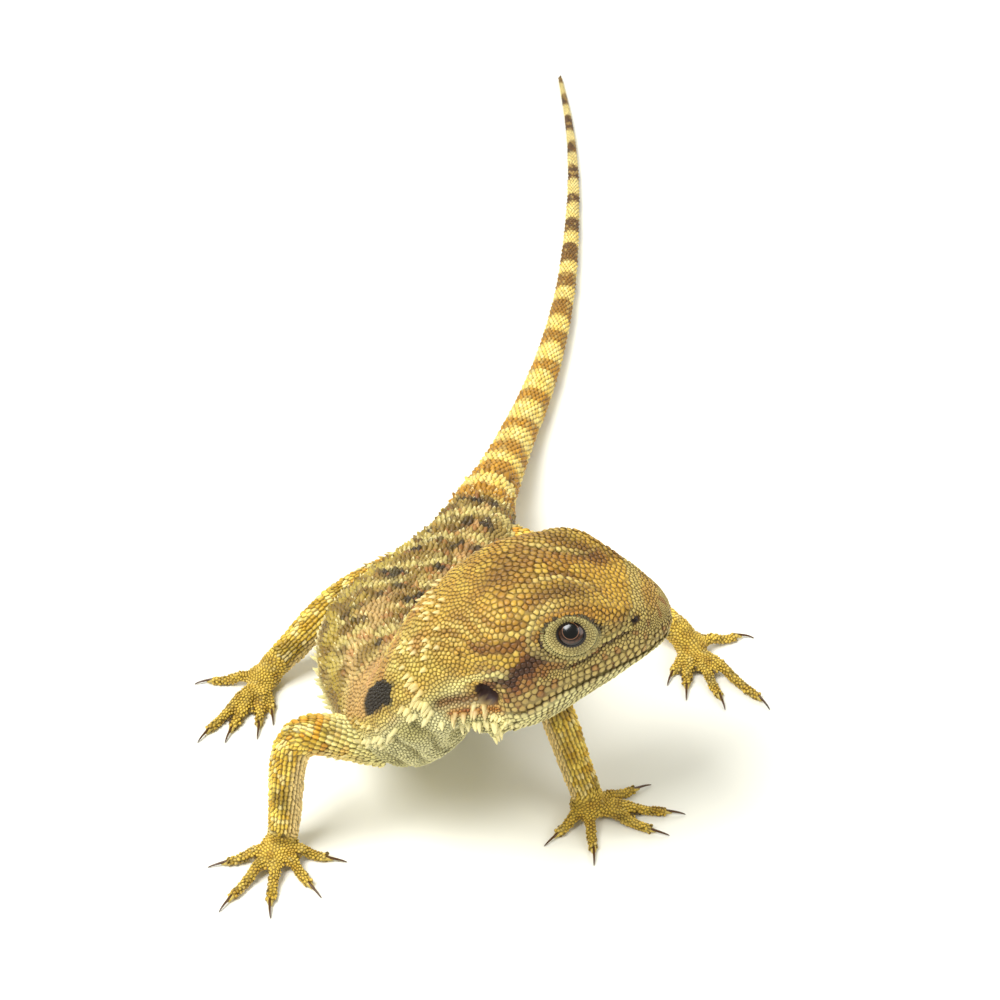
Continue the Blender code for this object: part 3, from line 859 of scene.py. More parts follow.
def scale_points(points, facing, lie, width, reach, rise, keel, lift, stretch):
    """Points of each scale, ring by ring and then its top: an array of scales by points by 3."""
    along, across = directions[:, 0], directions[:, 1]
    reach = reach * (1 + stretch[:, None] * np.maximum(along, 0) ** 3)
    rows = []
    for share, height, ridge, raised in RINGS:
        x, y = reach * share * along, reach * share * across
        z = (rise[:, None] * height + keel[:, None] * ridge * along ** 4 + lift[:, None] * raised * x
             - (raised == 0) * 0.04)
        rows.append(points[:, None] + x[..., None] * lie[:, None] + y[..., None] * width[:, None]
                    + z[..., None] * facing[:, None])
    size = reach.mean(axis=1)
    top = points + lie * (0.2 * size)[:, None] + facing * (rise + keel + lift * 0.2 * size)[:, None]
    rows.append(top[:, None])
    return np.concatenate(rows, axis=1)


def ring_quads(rings, sides):
    """Corner indices of the quads between rings of points."""
    around = np.arange(sides)
    after = (around + 1) % sides
    one_row = np.stack((around, after, sides + after, sides + around), axis=1)
    return (one_row[None] + sides * np.arange(rings - 1)[:, None, None]).ravel()


def many_faces(count, rings, sides):
    """Corner indices and face sizes of many like solids, each of some rings of points and a tip."""
    around = np.arange(sides)
    last = (rings - 1) * sides
    fan = np.stack((last + around, last + (around + 1) % sides, np.full(sides, rings * sides)), axis=1)
    one = np.concatenate([ring_quads(rings, sides), fan.ravel(), around[::-1]])
    sizes = [4] * (sides * (rings - 1)) + [3] * sides + [sides]
    flat = (one[None] + (rings * sides + 1) * np.arange(count)[:, None]).ravel()
    return flat, np.tile(sizes, count)


PATCH = 0.0029          # size of each scale's own patch in the OFBake map


def batch(form, tints, roots, shares, sides):
    """Many like solids with their colours, and their patches round the places of their roots."""
    corners, sizes = many_faces(len(form), len(shares), sides)
    patch = np.concatenate([circle(sides) * share for share in shares] + [[(0.0, 0.0)]]) * PATCH / 2
    spots = (roots[:, None] + patch[None]).reshape(-1, 2)
    return form.reshape(-1, 3), tints.reshape(-1, 3), corners, sizes, spots[corners]


def coat_piece(name, batches):
    """One joined mesh of several batches of scales or spines, painted and mapped."""
    starts = np.cumsum([0] + [len(b[0]) for b in batches])
    corners = np.concatenate([b[2] + start for b, start in zip(batches, starts)])
    sizes = np.concatenate([b[3] for b in batches])
    mesh = bpy.data.meshes.new(name)
    fill_mesh(mesh, np.concatenate([b[0] for b in batches]), corners, sizes)
    paint(mesh, np.concatenate([b[1] for b in batches]))
    layer = mesh.uv_layers.new(name="OFBake")
    layer.data.foreach_set("uv", np.concatenate([b[4] for b in batches]).astype(np.float32).ravel())
    print(name, "has", int((sizes - 2).sum()), "triangles")
    return add_piece(name, mesh, keratin)


def add_piece(name, mesh, material):
    """A finished mesh as a piece of the model, with its material."""
    ob = bpy.data.objects.new(name, mesh)
    bpy.context.scene.collection.objects.link(ob)
    ob.data.materials.append(material)
    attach(ob, "root")
    return ob


# %% [markdown]
# ## Markings
# One function gives the animal's colour at any place, from its body coordinates, so that skin and scales
# carry the same markings: a golden crown, dark streaks behind the eye, cream lips and beard, a sandy back
# with pale bars and dark blotches, a black patch on the shoulder, ochre limbs and a banded tail. A painted
# image would need a map of every fold; rules need only places. Patches of random but repeatable noise break
# every colour up. A pattern is a list of colour cards, each laid over the last by its own share.
# The same cards also lay painted shade into the creases, hollows and holes of the head and throat.

# %% Cards laid over each other
BARS = (43.5, 51.0, 57.5, 64.6, 73.0, 80.7, 88.3, 95.5)         # pale bars across the back
ROLL = radians(14)                                              # the trunk leans this far to its left
STREAKS = (             # streaks behind the eye: line, half width, strength and colour
    (((14.4, 3.2), (17.0, 2.9), (20.0, 1.2)), 0.9, 0.6, "#9c6431"),
    (((14.6, 5.0), (17.0, 4.7), (18.6, 3.8), (20.6, 2.2), (23.0, 1.0)), 1.15, 0.85, "#875526"),
    (((14.4, 4.8), (17.0, 4.6), (18.5, 3.8), (20.4, 2.4), (22.0, 1.3)), 0.62, 0.86, "#4e2e12"),
    (((16.8, 7.0), (20.5, 6.1), (24.2, 4.5)), 0.5, 0.75, "#8e5a28"),
)
TAIL_BANDS, TAIL_STEP, TAIL_FROM = 103.6, 8.5, 93.0     # a dark band's middle, their spacing, where bars end
TAIL_FADE = 125                                         # the bands' colours change over this length


def pigment(tints):
    """The colour cards are as seen under bright lamps; the animal's own pigment is deeper and richer."""
    return tints ** 1.28 * (0.88, 0.87, 0.66)


def blend(tints, card, share):
    """Move tints towards a colour by a share between 0 and 1."""
    share = np.clip(share, 0, 1)[..., None]
    return tints + (colour(card) - tints) * share


def layered(tints, *cards):
    """Tints with colour cards laid over them one after another, each by its own share."""
    for card, share in cards:
        tints = blend(tints, card, share)
    return tints


# %% Colours of the head
def head_markings(c, points):
    back, over, tilt = c["back"], c["over"], tilt_of(c)
    fine, wide, spots = cloud(points, 1.3, 1), cloud(points, 3.2, 2), cloud(points, 0.8, 8)
    side = step(-tilt, -62, -40) * step(back, 1.0, 3.0)
    crease, ridge = tilt - read_path(BROW_CREASE, back), brow_ridge(c)
    brow = hill(ridge, 0, 5) * hill(back, 11.5, 4.2)
    lore = side * step(17 - back, 0, 3) * step(5.5 - over, -1.0, 1.0)
    crest_gap = over - read_path(CREST, back)
    crest_fade = step(15 - back, 0, 2) * step(back, 3.0, 5.5)
    low = step(-crest_gap, -0.4, 0.5) * step(24 - back, 0, 3)
    cheek = step(2.8 - over, -1.0, 1.0) * step(back, 13, 16) * step(26 - back, 0, 3)
    lip_gap = over - read_path(LIPS, back)
    lower = step(-lip_gap, 0.1, 0.9)
    temple = side * hill(back, 20, 4) * hill(over, 5.0, 2.4)
    lines = np.sin(2 * pi * (over - 0.018 * (back - 20) ** 2 + 0.25 * wide) / 1.75)
    rear = step(back, 13, 17) * hill(over, 7.5, 4.0) * side
    tints = layered(
        colour("#c69a3e"),
        ("#e4c566", 0.35 + 0.35 * fine),
        ("#9a6a2c", 0.15 - 0.35 * wide),
        ("#d6b770", 0.7 * (1 - step(back, 1, 5))),
        ("#8f7432", 0.7 * hill(back, 12.0, 4.4) * hill(tilt, 63, 9)),       # over the eye
        ("#9c7d38", 0.55 * hill(back, 19, 3.5) * hill(tilt, 84, 14)),
        ("#d9bd6c", step(back, 19, 25) * 0.5),
        ("#e8c25c", 0.75 * hill(back, 6.6, 2.6) * step(tilt, 38, 60) * step(wide, -1.2, 0.3)),
        ("#ecdca0", 0.75 * hill(crease, -2.6, 2.4) * hill(back, 12.5, 4.5)),
        # painted shade in the furrow of the dome over each eye
        ("#6b4718", 0.65 * hill(crease, 1.6, 2.0) * hill(back, 12.5, 4.8)),
        ("#cc9c48", 0.85 * brow),
        ("#ead07c", 0.6 * hill(ridge, 9.5, 4.5) * hill(back, 13.0, 5.0)),
        ("#c0aa6e", 0.8 * lore * (1 - brow)),                               # from the crest down
        ("#d9d09a", 0.7 * hill(crest_gap, 0.35, 0.35) * crest_fade),
        ("#cfbc86", 0.92 * low),
        # painted shade in the groove under the crest
        ("#4e3412", 0.85 * hill(crest_gap, -0.4, 0.3) * crest_fade),
        ("#b3783a", 0.6 * low * step(spots, 0.7, 1.5)),
        ("#c9b37e", 0.7 * cheek),
        ("#8a5a24", 0.8 * cheek * hill(lip_gap, 1.8, 0.25)),
        ("#a9702f", 0.6 * cheek * step(spots, 0.5, 1.3)),
        ("#f0e9bf", 0.92 * lower),
        ("#cbbb84", lower * (0.1 + 0.3 * fine)),
        ("#efe7bd", 0.85 * step(-2.4 - over, 0, 2) * step(back, 17, 20)),   # the beard
        ("#f0e0a2", 0.55 * rear * step(lines, 0.0, 0.9)),                   # behind the eye
        ("#8a5c24", 0.55 * rear * step(-lines, 0.1, 0.9)),
        ("#e0c468", 0.6 * temple),
        ("#ad6c2c", 0.7 * temple * step(spots, 0.6, 1.4)),
    )
    for knots, width, strength, card in STREAKS:
        ragged = width * (1 + 0.25 * fine)
        inside = step(ragged - path_distance(knots, back, over), -0.45, 0.25)
        tints = blend(tints, card, strength * inside * side)
    lids, nose = oval_distance(c, LIDS), spot_distance(c, *NOSTRIL)
    near_eye = (over > 0) * (back < 18)
    hind_corner = step(back, 12.5, 14.5) * step(over, 4.4, 5.6)
    return layered(
        tints,
        ("#c2b282", 0.85 * hill(lids, 1.18, 0.15) * near_eye * step(7.0 - over, 0, 2)),
        # painted shade in the groove round the eyelids
        ("#2f1f0c", 0.9 * hill(lids, 1.03, 0.06) * near_eye),
        ("#efe2aa", 0.6 * hill(lids, 1.4, 0.13) * near_eye * hind_corner),
        ("#dccb90", 0.8 * hill(nose, 1.15, 0.3) * (over > 0)),
        # painted shade inside the nostrils
        ("#4a2412", step(0.72 - nose, 0.0, 0.25) * (over > 0)),
    )


def ear_markings(c, points, tints):
    """The beads over the ear, painted shade in its opening and in the hollow behind, and the rusty rim under
    it.
    """
    back, over = c["back"], c["over"]
    beads = path_distance(((20.8, 3.1), (23.0, 1.7), (25.5, 0.2), (29.5, -1.3)), back, over)
    rim = path_distance(((22.4, -3.2), (25.0, -4.3), (28.5, -5.0), (31.0, -4.0)), back, over)
    return layered(
        tints,
        ("#f2e8b4", 0.9 * hill(beads, 0, 0.45)),
        # painted shade in the hollow behind the ear
        ("#8a5a24", 0.85 * hill(path_distance(HOLLOW, back, over), 0, 0.8)),
        ("#bd8338", 0.95 * hill(rim, 0, 0.6)),
        ("#8a4f1c", 0.6 * hill(rim, 0, 0.4) * (cloud(points, 0.9, 7) > 0.4)),
        # painted shade in the ear's opening
        ("#5c2c1a", step(1.14 - oval_distance(c, EAR), 0, 0.15)),
    )


# %% Colours of the neck and trunk
def neck_markings(c, points):
    back, tilt = c["back"], tilt_of(c)
    fine, wide = cloud(points, 1.1, 1), cloud(points, 3.0, 2)
    patch = np.hypot((back - 34.9) / 2.4, (tilt - 33) / 18)
    groove = step(-fold_wave(c), 0.2, 1.0) * step(-tilt, 5, 20) * hill(back, 37, 5.5)
    return layered(
        colour("#c9af68"),
        ("#ead892", 0.3 + 0.3 * fine),
        ("#c08a5e", wide * 0.5 - 0.1),
        ("#d6b283", 0.8 * step(back, 33, 36) * step(tilt, 15, 25)),
        ("#e8e3c4", step(-tilt, -14, 12)),
        ("#cdc69a", step(-tilt, -10, 10) * (0.1 + 0.3 * wide)),
        # painted shade in the grooves between the throat's folds
        ("#958b58", 0.55 * groove),
        ("#e6cf73", 0.7 * hill(back, 30.5, 2.2) * hill(tilt, 12, 22)),
        ("#1d1710", 0.95 * step(1.12 + 0.14 * fine - patch, 0, 0.3)),       # the black patch on the shoulder
    )


def trunk_markings(c, points):
    back = c["back"]
    roll = ROLL * step(back, 38, 50) * step(108 - back, 0, 8)
    turn = np.degrees(np.abs(np.arctan2(c["across"], c["over"]) - roll))    # 0 on the midline of the back
    fine, wide, patchy = cloud(points, 1.6, 1), cloud(points, 3.6, 2), cloud(points, 2.2, 5)
    waver = back + 0.8 * wide + 0.03 * turn
    bars = np.array(BARS)
    order = np.clip(np.searchsorted(bars, waver), 1, len(bars) - 1)
    gap = (waver - bars[order - 1]) / (bars[order] - bars[order - 1])       # 0 and 1 on a bar
    pale = hill(gap, 0, 0.20) + hill(gap, 1, 0.20)
    top = step(100 - turn, 0, 30)
    dark = hill(gap, 0.55, 0.30) * (hill(turn, 16 + 4 * wide, 9) + 0.8 * hill(turn, 58 + 6 * wide, 13)) * top
    stripe = hill(turn, 47 + 3 * wide, 9) * step(64 - back, 0, 8)
    belly = step(turn, 92, 112)
    return layered(
        colour("#a08646"),
        ("#886e36", 0.45 + 0.35 * patchy),
        ("#e2d5a0", 0.9 * np.minimum(pale, 1) * top * step(fine, -1.8, -0.4)),
        ("#c9b47c", 0.35 * step(fine, 0.3, 1.3)),
        ("#3a3018", 0.85 * step(dark + 0.22 * patchy, 0.35, 0.8)),
        ("#d2aa84", 0.75 * hill(gap, 0.35, 0.5) * hill(turn, 0, 11) * step(fine, -0.9, 0.4)),
        ("#bb8552", 0.6 * step(cloud(points, 1.2, 6), 0.9, 1.5) * step(80 - turn, 0, 20)),
        ("#dcbf92", 0.8 * stripe),
        ("#b98058", 0.6 * stripe * step(fine, 0.5, 1.3)),
        ("#c6b255", 0.6 * hill(turn, 80, 14) * step(fine, -0.4, 0.6)),      # the flank
        ("#ddd6a6", 0.95 * belly),
        ("#dcd5aa", 0.7 * belly * step(50 - back, 0, 6)),                   # the chest
    )


# %% Colours of the tail and limbs
def tail_markings(c, points):
    back, tilt = c["back"], tilt_of(c)
    fine, wide = cloud(points, 0.8, 1), cloud(points, 3.0, 2)
    away = np.clip((back - TAIL_START) / TAIL_FADE, 0, 1)
    wave = np.cos(2 * pi * (back - TAIL_BANDS + 0.45 * wide) / TAIL_STEP)
    band = step(wave + 0.15 * fine, -0.55 + 0.35 * away, 0.35 + 0.2 * away)
    pale = layered(
        colour("#ecd07c"),
        ("#f8ebb8", 0.35 + 0.3 * fine),
        ("#e0d2aa", 0.8 * step(away, 0.4, 1.0)),
    )
    dark = layered(
        colour("#d0a23c"),
        ("#64492a", step(away, 0.2, 0.75)),
        ("#a47c30", 0.3 + 0.3 * fine),
    )
    share = band * (1 - 0.75 * step(-tilt, 20, 55)) * (1 - 0.25 * step(away, 0.0, 0.1) * (fine > 1))
    return pale + (dark - pale) * share[:, None]


def limb_markings(c, points):
    fine, wide, flecks = cloud(points, 1.3, 1), cloud(points, 3.0, 2), cloud(points, 1.0, 6)
    upper = np.array([name.startswith(("upper_arm", "thigh")) for name in FLESH])[c["node"]].astype(float)
    outer = step(c["facing"][:, 2] + 0.6 * c["facing"][:, 0] * np.sign(points[:, 0] - 4), -0.38, 0.0)
    root = step(12.0 - np.hypot(c["across"], c["over"]), 0.0, 3.5) * upper * (c["back"] < 60)
    foot = (c["area"] == FOOT).astype(float)
    return layered(
        colour("#bd9d34"),
        ("#e9d684", 0.3 + 0.25 * fine),
        ("#8f7a26", 0.65 * step(wide, 0.0, 1.2)),
        ("#d8a136", 0.65 * upper * step(flecks + 0.4 * wide, 0.3, 1.1)),
        ("#efe0a0", 0.55 * upper * step(-flecks, 0.4, 1.1)),
        ("#f3ead0", 0.4 * step(-flecks, 0.9, 1.5)),
        ("#dac5a0", 0.85 * (1 - outer) * (1 - 0.4 * upper)),
        ("#dfd8ac", 0.9 * root),
        ("#e6ca6c", foot * (0.72 + 0.2 * fine)),
        ("#bd953a", foot * 0.35 * step(flecks, 0.5, 1.3)),
    )


# %% Colour of the animal at any place
def picked(c, chosen):
    """The body coordinates of the chosen places alone."""
    return {key: value[chosen] for key, value in c.items()}


def markings_and_shading(c, points, facing):
    """The colour of the coat at each place, from its body coordinates, with painted shade in creases and
    holes.
    """
    c = dict(c, facing=facing)
    back, area = c["back"], c["area"]
    is_trunk = step(back, 40, 44) * (area <= TRUNK)
    is_head = (area <= NECK) * (1 - step(back, 26.0, 30.0))
    tail_edge = step(back + 0.6 * cloud(points, 1.0, 9), TAIL_FROM - 1, TAIL_FROM + 1)
    is_tail = ((area == TAIL) | (area == TRUNK)) * tail_edge
    is_limb = (area >= LIMB).astype(float)
    tints = neck_markings(c, points)
    for share, rule in ((is_trunk, trunk_markings), (is_head, head_markings), (is_tail, tail_markings),
                        (is_limb, limb_markings)):
        mine = share > 0
        tints[mine] += (rule(picked(c, mine), points[mine]) - tints[mine]) * share[mine, None]
    near = (area <= NECK) & (back < 34)
    tints[near] = ear_markings(picked(c, near), points[near], tints[near])
    return pigment(tints)


# %% Coat and skin materials
def painted_material(name):
    """A material that takes its colour from the markings, with its shader and that colour's output."""
    material, shader = new_material(name)
    painted = add(material, "Attribute", {"attribute_name": "markings_and_shading"}).outputs["Color"]
    material.node_tree.links.new(painted, shader.inputs["Base Color"])
    return material, shader, painted


def coat_material(name, roughness, deepen, bump):
    """The painted markings, broken up by noise a millimetre across, which roughens the surface too."""
    hide, shader, painted = painted_material(name)
    place = add(hide, "TexCoord")
    grain = add(hide, "TexNoise", {"Scale": 0.9 / MM, "Detail": 3.0}, Vector=place.outputs["Object"])
    spread = add(hide, "MapRange", {"To Min": 1 - deepen, "To Max": 1 + deepen}, Value=grain.outputs["Fac"])
    spread.inputs["From Min"].default_value, spread.inputs["From Max"].default_value = 0.3, 0.7
    tint = add(hide, "VectorMath", {"operation": "SCALE"}, Scale=spread.outputs["Result"])
    hide.node_tree.links.new(painted, tint.inputs[0])
    hide.node_tree.links.new(tint.outputs["Vector"], shader.inputs["Base Color"])
    rough = add(hide, "Bump", {"Strength": bump, "Distance": 0.05 * MM}, Height=grain.outputs["Fac"])
    hide.node_tree.links.new(rough.outputs["Normal"], shader.inputs["Normal"])
    shader.inputs["Roughness"].default_value = roughness
    return hide


# Dry scale keratin is satin: each dome carries a small soft highlight. The skin between scales is duller.
keratin = coat_material("scale_keratin", 0.48, 0.16, 0.35)
bare_skin = coat_material("bare_lizard_skin", 0.62, 0.1, 0.25)
# The skin is painted darker than the scales, as painted shade in the gaps between them.
SHADE_BETWEEN_SCALES = 0.55                   # how bright the skin is that shows between the scales
skin_tints = markings_and_shading(skin_at, skin_points, skin_normals)
paint(skin.data, skin_tints * SHADE_BETWEEN_SCALES)
skin.data.materials.append(bare_skin)
print("skin painted:", len(skin_tints), "points")

# %% [markdown]
# ## The coat
# What a scale looks like depends on where it grows: smooth plates on the head, beads on the throat, keeled
# and pointed scales on the back, limbs and tail, and flat ones on the belly. So the same few rings of points
# are raised, ridged, lifted and stretched by different shares. The coat is cut into pieces by part of the
# body. Each scale keeps its own small patch in the OFBake map, placed where its root lies on the unrolled
# body.

# %% Forms of the scales by region
tilt, back, area = tilt_of(sites_at), sites_at["back"], sites_at["area"]
luck = chance.random(len(sites))
rise, keel, lift, stretch, seam = (np.zeros(len(sites)) for _ in range(5))
FOOT_REACH = 0.56       # the most that a scale on a foot spreads, in shares of its size
FORMS = (               # area: rise and keel in shares of a scale, rear lift, stretch of the point, seam
    (HEAD, 0.17, 0.04, 0.14, 0.12, 0.97), (NECK, 0.26, 0.10, 0.16, 0.10, 0.93),
    (TRUNK, 0.16, 0.26, 0.30, 0.40, 0.97), (TAIL, 0.14, 0.24, 0.22, 0.35, 0.98),
    (LIMB, 0.13, 0.32, 0.26, 0.55, 0.99), (FOOT, 0.27, 0.10, 0.20, 0.15, 0.96),
)
for kind, *values in FORMS:
    mine = area == kind
    for table, value in zip((rise, keel, lift, stretch, seam), values):
        table[mine] = value
upward = np.where((area == TRUNK) | (area == NECK), 0.35 + 0.65 * step(tilt, 0, 35), 1.0)
keel, lift, stretch = keel * upward, lift * upward, stretch * upward
rise = rise + 0.16 * (area == HEAD) * (1 - step(spacing, 0.45, 0.72))     # the finest grains are like beads
rise, keel = rise * spacing * (0.85 + 0.3 * luck), keel * spacing * (0.6 + 0.8 * luck)
large = (area == TRUNK) & (tilt > 12) & (chance.random(len(sites)) < 0.17)
keel, lift, stretch = keel + large * 0.22, lift + large * 0.35, stretch + large * 0.35
reach = reach * (seam + 0.12 * large)[:, None]
reach = np.where((area == FOOT)[:, None], np.minimum(reach, FOOT_REACH * spacing[:, None]), reach)
form = scale_points(sites, facing, lie, width, reach, rise, keel, lift, stretch)
form[..., 2] = np.maximum(form[..., 2], 0.03)           # the soles stay over the floor
print("large scales on the back:", int(large.sum()))

# %% Colours of the scales
# The seam colour is a dark brown for each scale's outline, and round each scale's base it is painted shade in
# the gaps between scales.
SEAM_AND_SHADE = "#3a2006"
# The rings are painted darker towards the base as shade between the scales, and the top brighter as a painted
# highlight.
SHADES = ((0.30, 0.6), (0.80, 0.20), (1.0, 0.0), (1.08, 0.0))     # each ring's brightness and share of seam


def shaded(tints, edge, ridge):
    """Each scale's colour over its points: painted shade in the seam round its base, dark at its hind edge,
    and painted highlights on its top and along its ridge.
    """
    along = directions[:, 0]
    rows = []
    for i, (bright, seam) in enumerate(SHADES):
        sides = along if i < len(RINGS) else np.ones(1)
        share = seam + (i == 1) * np.outer(edge, 0.25 + 0.75 * np.maximum(sides, 0))
        light_and_shade = bright * (1 + (i > 0) * np.outer(ridge, sides ** 8))
        row = tints[:, None] * np.broadcast_to(light_and_shade, (len(tints), len(sides)))[..., None]
        share = np.broadcast_to(share, (len(tints), len(sides)))[..., None]
        rows.append(row + (colour(SEAM_AND_SHADE) - row) * share)
    return np.concatenate(rows, axis=1)


crown_edge = (0.3 + 0.4 * luck) * step(tilt, -60, -10) + 0.1
edge = np.where(area == HEAD, crown_edge, np.where(area == NECK, 0.15, 0.06))
# A painted highlight along each scale's ridge, strongest on the limbs, shows as pale lines along them.
ridge = np.where(area >= LIMB, 0.6 * (area == LIMB) + 0.15, 0.12 * (area == TRUNK) + 0.2 * (area == TAIL))
brightness = 1 + (luck - 0.5) * np.where(area == TRUNK, 0.16, 0.22)
scale_tints = shaded(markings_and_shading(sites_at, sites, facing) * brightness[:, None], edge, ridge)


# %% The body rolled out flat
SHEETS = {HEAD: (0, 30), NECK: (25, 48), TRUNK: (42, 112), TAIL: (98, 236)}    # first and last distance back
ISLAND, ISLAND_STEP = (0.24, 0.32), (0.25, 0.33)      # size and spacing of the legs' islands in the map


def unrolled(c):
    """A place between 0 and 1 each way for every root: along the body and round it."""
    low, high = np.array([SHEETS.get(a, (0, 236)) for a in c["area"]]).T
    along = np.clip((c["back"] - low) / (high - low), 0, 1)
    around = np.arctan2(c["over"], c["across"]) / (2 * pi) + 0.5
    return np.stack((0.02 + 0.96 * along, 0.02 + 0.96 * around), axis=1)


def unrolled_limbs(c, points, facing):
    """The same for legs: an island for each of their solids, in a grid of four by three."""
    place = np.empty((len(points), 2))
    for cell, name in enumerate(sorted(limb_axis)):
        mine = c["node"] == FLESH.index(name)
        rest = points[mine] - middle(name)
        if name.startswith(ENDS):                   # the top and the sole side by side
            u, v = rest[:, 0] / 24 + 0.5, rest[:, 1] / 48 + 0.25 + 0.5 * (facing[mine][:, 2] < 0)
        else:
            axis, side, other_side = limb_frame(name)
            u, v = rest @ axis / 26 + 0.5, np.arctan2(rest @ other_side, rest @ side) / (2 * pi) + 0.5
        island = np.stack((np.clip(u, 0.01, 0.99), np.clip(v, 0.01, 0.99)), axis=1) * ISLAND
        place[mine] = island + np.array((cell % 4, cell // 4)) * ISLAND_STEP
    return place


# %% The coat in pieces
LEGS_APART = 8                          # left and right legs are told apart on this line along the floor
on_left = (sites_at["across"] > 0) & (area != LIMB) | (area == LIMB) & (sites[:, 0] > LEGS_APART)
RING_SHARES = [row[0] for row in RINGS]
PIECES = (              # name, which scales, slot
    ("scales_crown", (area == HEAD) & (tilt >= 20), "head_scales"),
    ("scales_jaw", (area == HEAD) & (tilt < 20), "head_scales"),
    ("scales_neck", area == NECK, "body_scales"),
    ("scales_back", (area == TRUNK) & (tilt >= 5), "body_scales"),
    ("scales_belly", (area == TRUNK) & (tilt < 5), "body_scales"),
    ("scales_tail", area == TAIL, "tail_scales"),
    ("scales_legs_left", (area == LIMB) & on_left, "limb_scales"),
    ("scales_legs_right", (area == LIMB) & ~on_left, "limb_scales"),
    ("scales_feet", area == FOOT, "limb_scales"),
)
for name, chosen, slot in PIECES:
    here = picked(sites_at, chosen)
    roots = unrolled_limbs(here, sites[chosen], facing[chosen]) if slot == "limb_scales" else unrolled(here)
    coat_piece(name, [batch(form[chosen], scale_tints[chosen], roots, RING_SHARES, SIDES)])

# %% [markdown]
# ## Eyes and eyelids
# An eyeball is a set of rings round the line of sight: pupil, the thin bright ring, the brown iris and the
# dark edge. A plain sphere would do for the shape, but rings put a row of points on each edge of colour, so
# the pupil stays crisp. Round it the eyelids rise like a low cone from the skin to the opening, with rows of
# the smallest scales, painted shade in the lower lid's crease, and the brow's shadow painted over the upper
# lid. The fringe of tiny teeth on the lower lid comes with the spines.

# %% Meshes from rings of points
def ring_mesh(name, rings, tints):
    """A closed mesh of quads between rings of points, with a face over the first and the last ring."""
    count, sides = rings.shape[:2]
    around = np.arange(sides)
    corners = np.concatenate([ring_quads(count, sides), around[::-1], (count - 1) * sides + around])
    sizes = [4] * (sides * (count - 1)) + [sides, sides]
    mesh = bpy.data.meshes.new(name)
    fill_mesh(mesh, rings.reshape(-1, 3), corners, sizes)
    paint(mesh, tints.reshape(-1, 3))
    return mesh


def shades(stops, where):
    """Pigments between stops of a place and a hex colour."""
    places = [place for place, _ in stops]
    cards = np.array([colour(card) for _, card in stops])
    return pigment(np.array([np.interp(where, places, cards[:, k]) for k in range(3)]).T)


# %% Eyeballs
EYE_RADIUS, EYE_SIDES = 2.75, 72
LIDS_UP, GAZE_UP = radians(33), radians(9)      # how far the lids face up, and the gaze above that
EYE_RINGS = np.array((                          # angles from the line of sight, closest at edges of colour
    165, 130, 100, 80, 66, 56, 50, 46, 42, 38, 35, 32, 30, 28, 26, 24.5, 23.2, 22.2, 21.2, 20.4, 19.6, 18.8,
    18, 15, 9, 4,
))
IRIS = (                                        # angle from the line of sight, and colour
    (19.4, "#07080b"), (20.1, "#5c4038"), (21.0, "#b58f82"), (22.0, "#4f332a"), (23.6, "#2b1d16"),
    (28, "#5b4034"), (31, "#64463a"), (34, "#2a1c14"), (38, "#1a120d"), (46, "#22170f"), (90, "#33251c"),
)


def eye_axes(side):
    """Centre of an eyeball, the way its lids face, the way to the rear and the way up across them."""
    centre = middle("eye_left" if side > 0 else "eye_right")
    look = unit(head_left * side * cos(LIDS_UP) + head_up * sin(LIDS_UP))
    rear = unit(-head_ahead)
    return centre, look, rear, np.cross(look, rear) * side


def eye_mesh(name, side):
    centre, look, rear, up = eye_axes(side)
    look, up = look * cos(GAZE_UP) + up * sin(GAZE_UP), up * cos(GAZE_UP) - look * sin(GAZE_UP)
    turn = side * 2 * pi * np.arange(EYE_SIDES) / EYE_SIDES
    flat = np.outer(np.cos(turn), rear) + np.outer(np.sin(turn), up)
    angles = np.radians(EYE_RINGS)[:, None, None]
    rings = centre + EYE_RADIUS * (np.sin(angles) * flat[None] + np.cos(angles) * look)
    tints = np.repeat(shades(IRIS, EYE_RINGS)[:, None], EYE_SIDES, axis=1)
    streaks = 1 + 0.35 * chance.standard_normal(EYE_SIDES)
    iris = hill(EYE_RINGS, 28, 5)[:, None, None]
    tints = tints * (1 + iris * (np.clip(streaks, 0.4, 1.8) - 1)[None, :, None])
    return ring_mesh(name, rings, tints)


# A wet cornea: a smooth clear coat over the iris, in which the lamps show as small bright windows.
wet_eye, shader, _ = painted_material("wet_eye")
shader.inputs["Roughness"].default_value = 0.2
shader.inputs["Coat Weight"].default_value = 0.2
shader.inputs["Coat Roughness"].default_value = 0.03
for name, side in (("eye_left", 1), ("eye_right", -1)):
    eyeball = add_piece(name + "_ball", eye_mesh(name + "_ball", side), wet_eye)
    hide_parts(name)
print("eyeballs: radius", EYE_RADIUS, "mm,", EYE_SIDES * len(EYE_RINGS), "points each")

# %% Eyelids
LID_RINGS, LID_SIDES = 26, 84
OPEN_LONG, OPEN_TALL = 1.62, 1.48                               # half sizes of the opening
LID_OUTER_LONG, LID_OUTER_TALL, LID_DROP = 3.85, 3.0, 0.3       # and of the lids' oval, and how low it sits
LID_BULGE, CREASE_AT = 0.34, 0.70
LID_TINTS = (           # share of the way from the opening to the face, and colour
    # Near black where the lids roll in towards the eyeball and dark at their outer edge: painted shade in the
    # gap round the eyeball and in the groove round the lids.
    (-0.2, "#120c08"), (0.02, "#1d140c"), (0.09, "#4a3c24"), (0.20, "#b9ab80"), (0.50, "#c8bb8e"),
    (0.70, "#d9cea2"), (0.84, "#c0b488"), (0.94, "#a39566"), (1.0, "#3d2d12"),
)


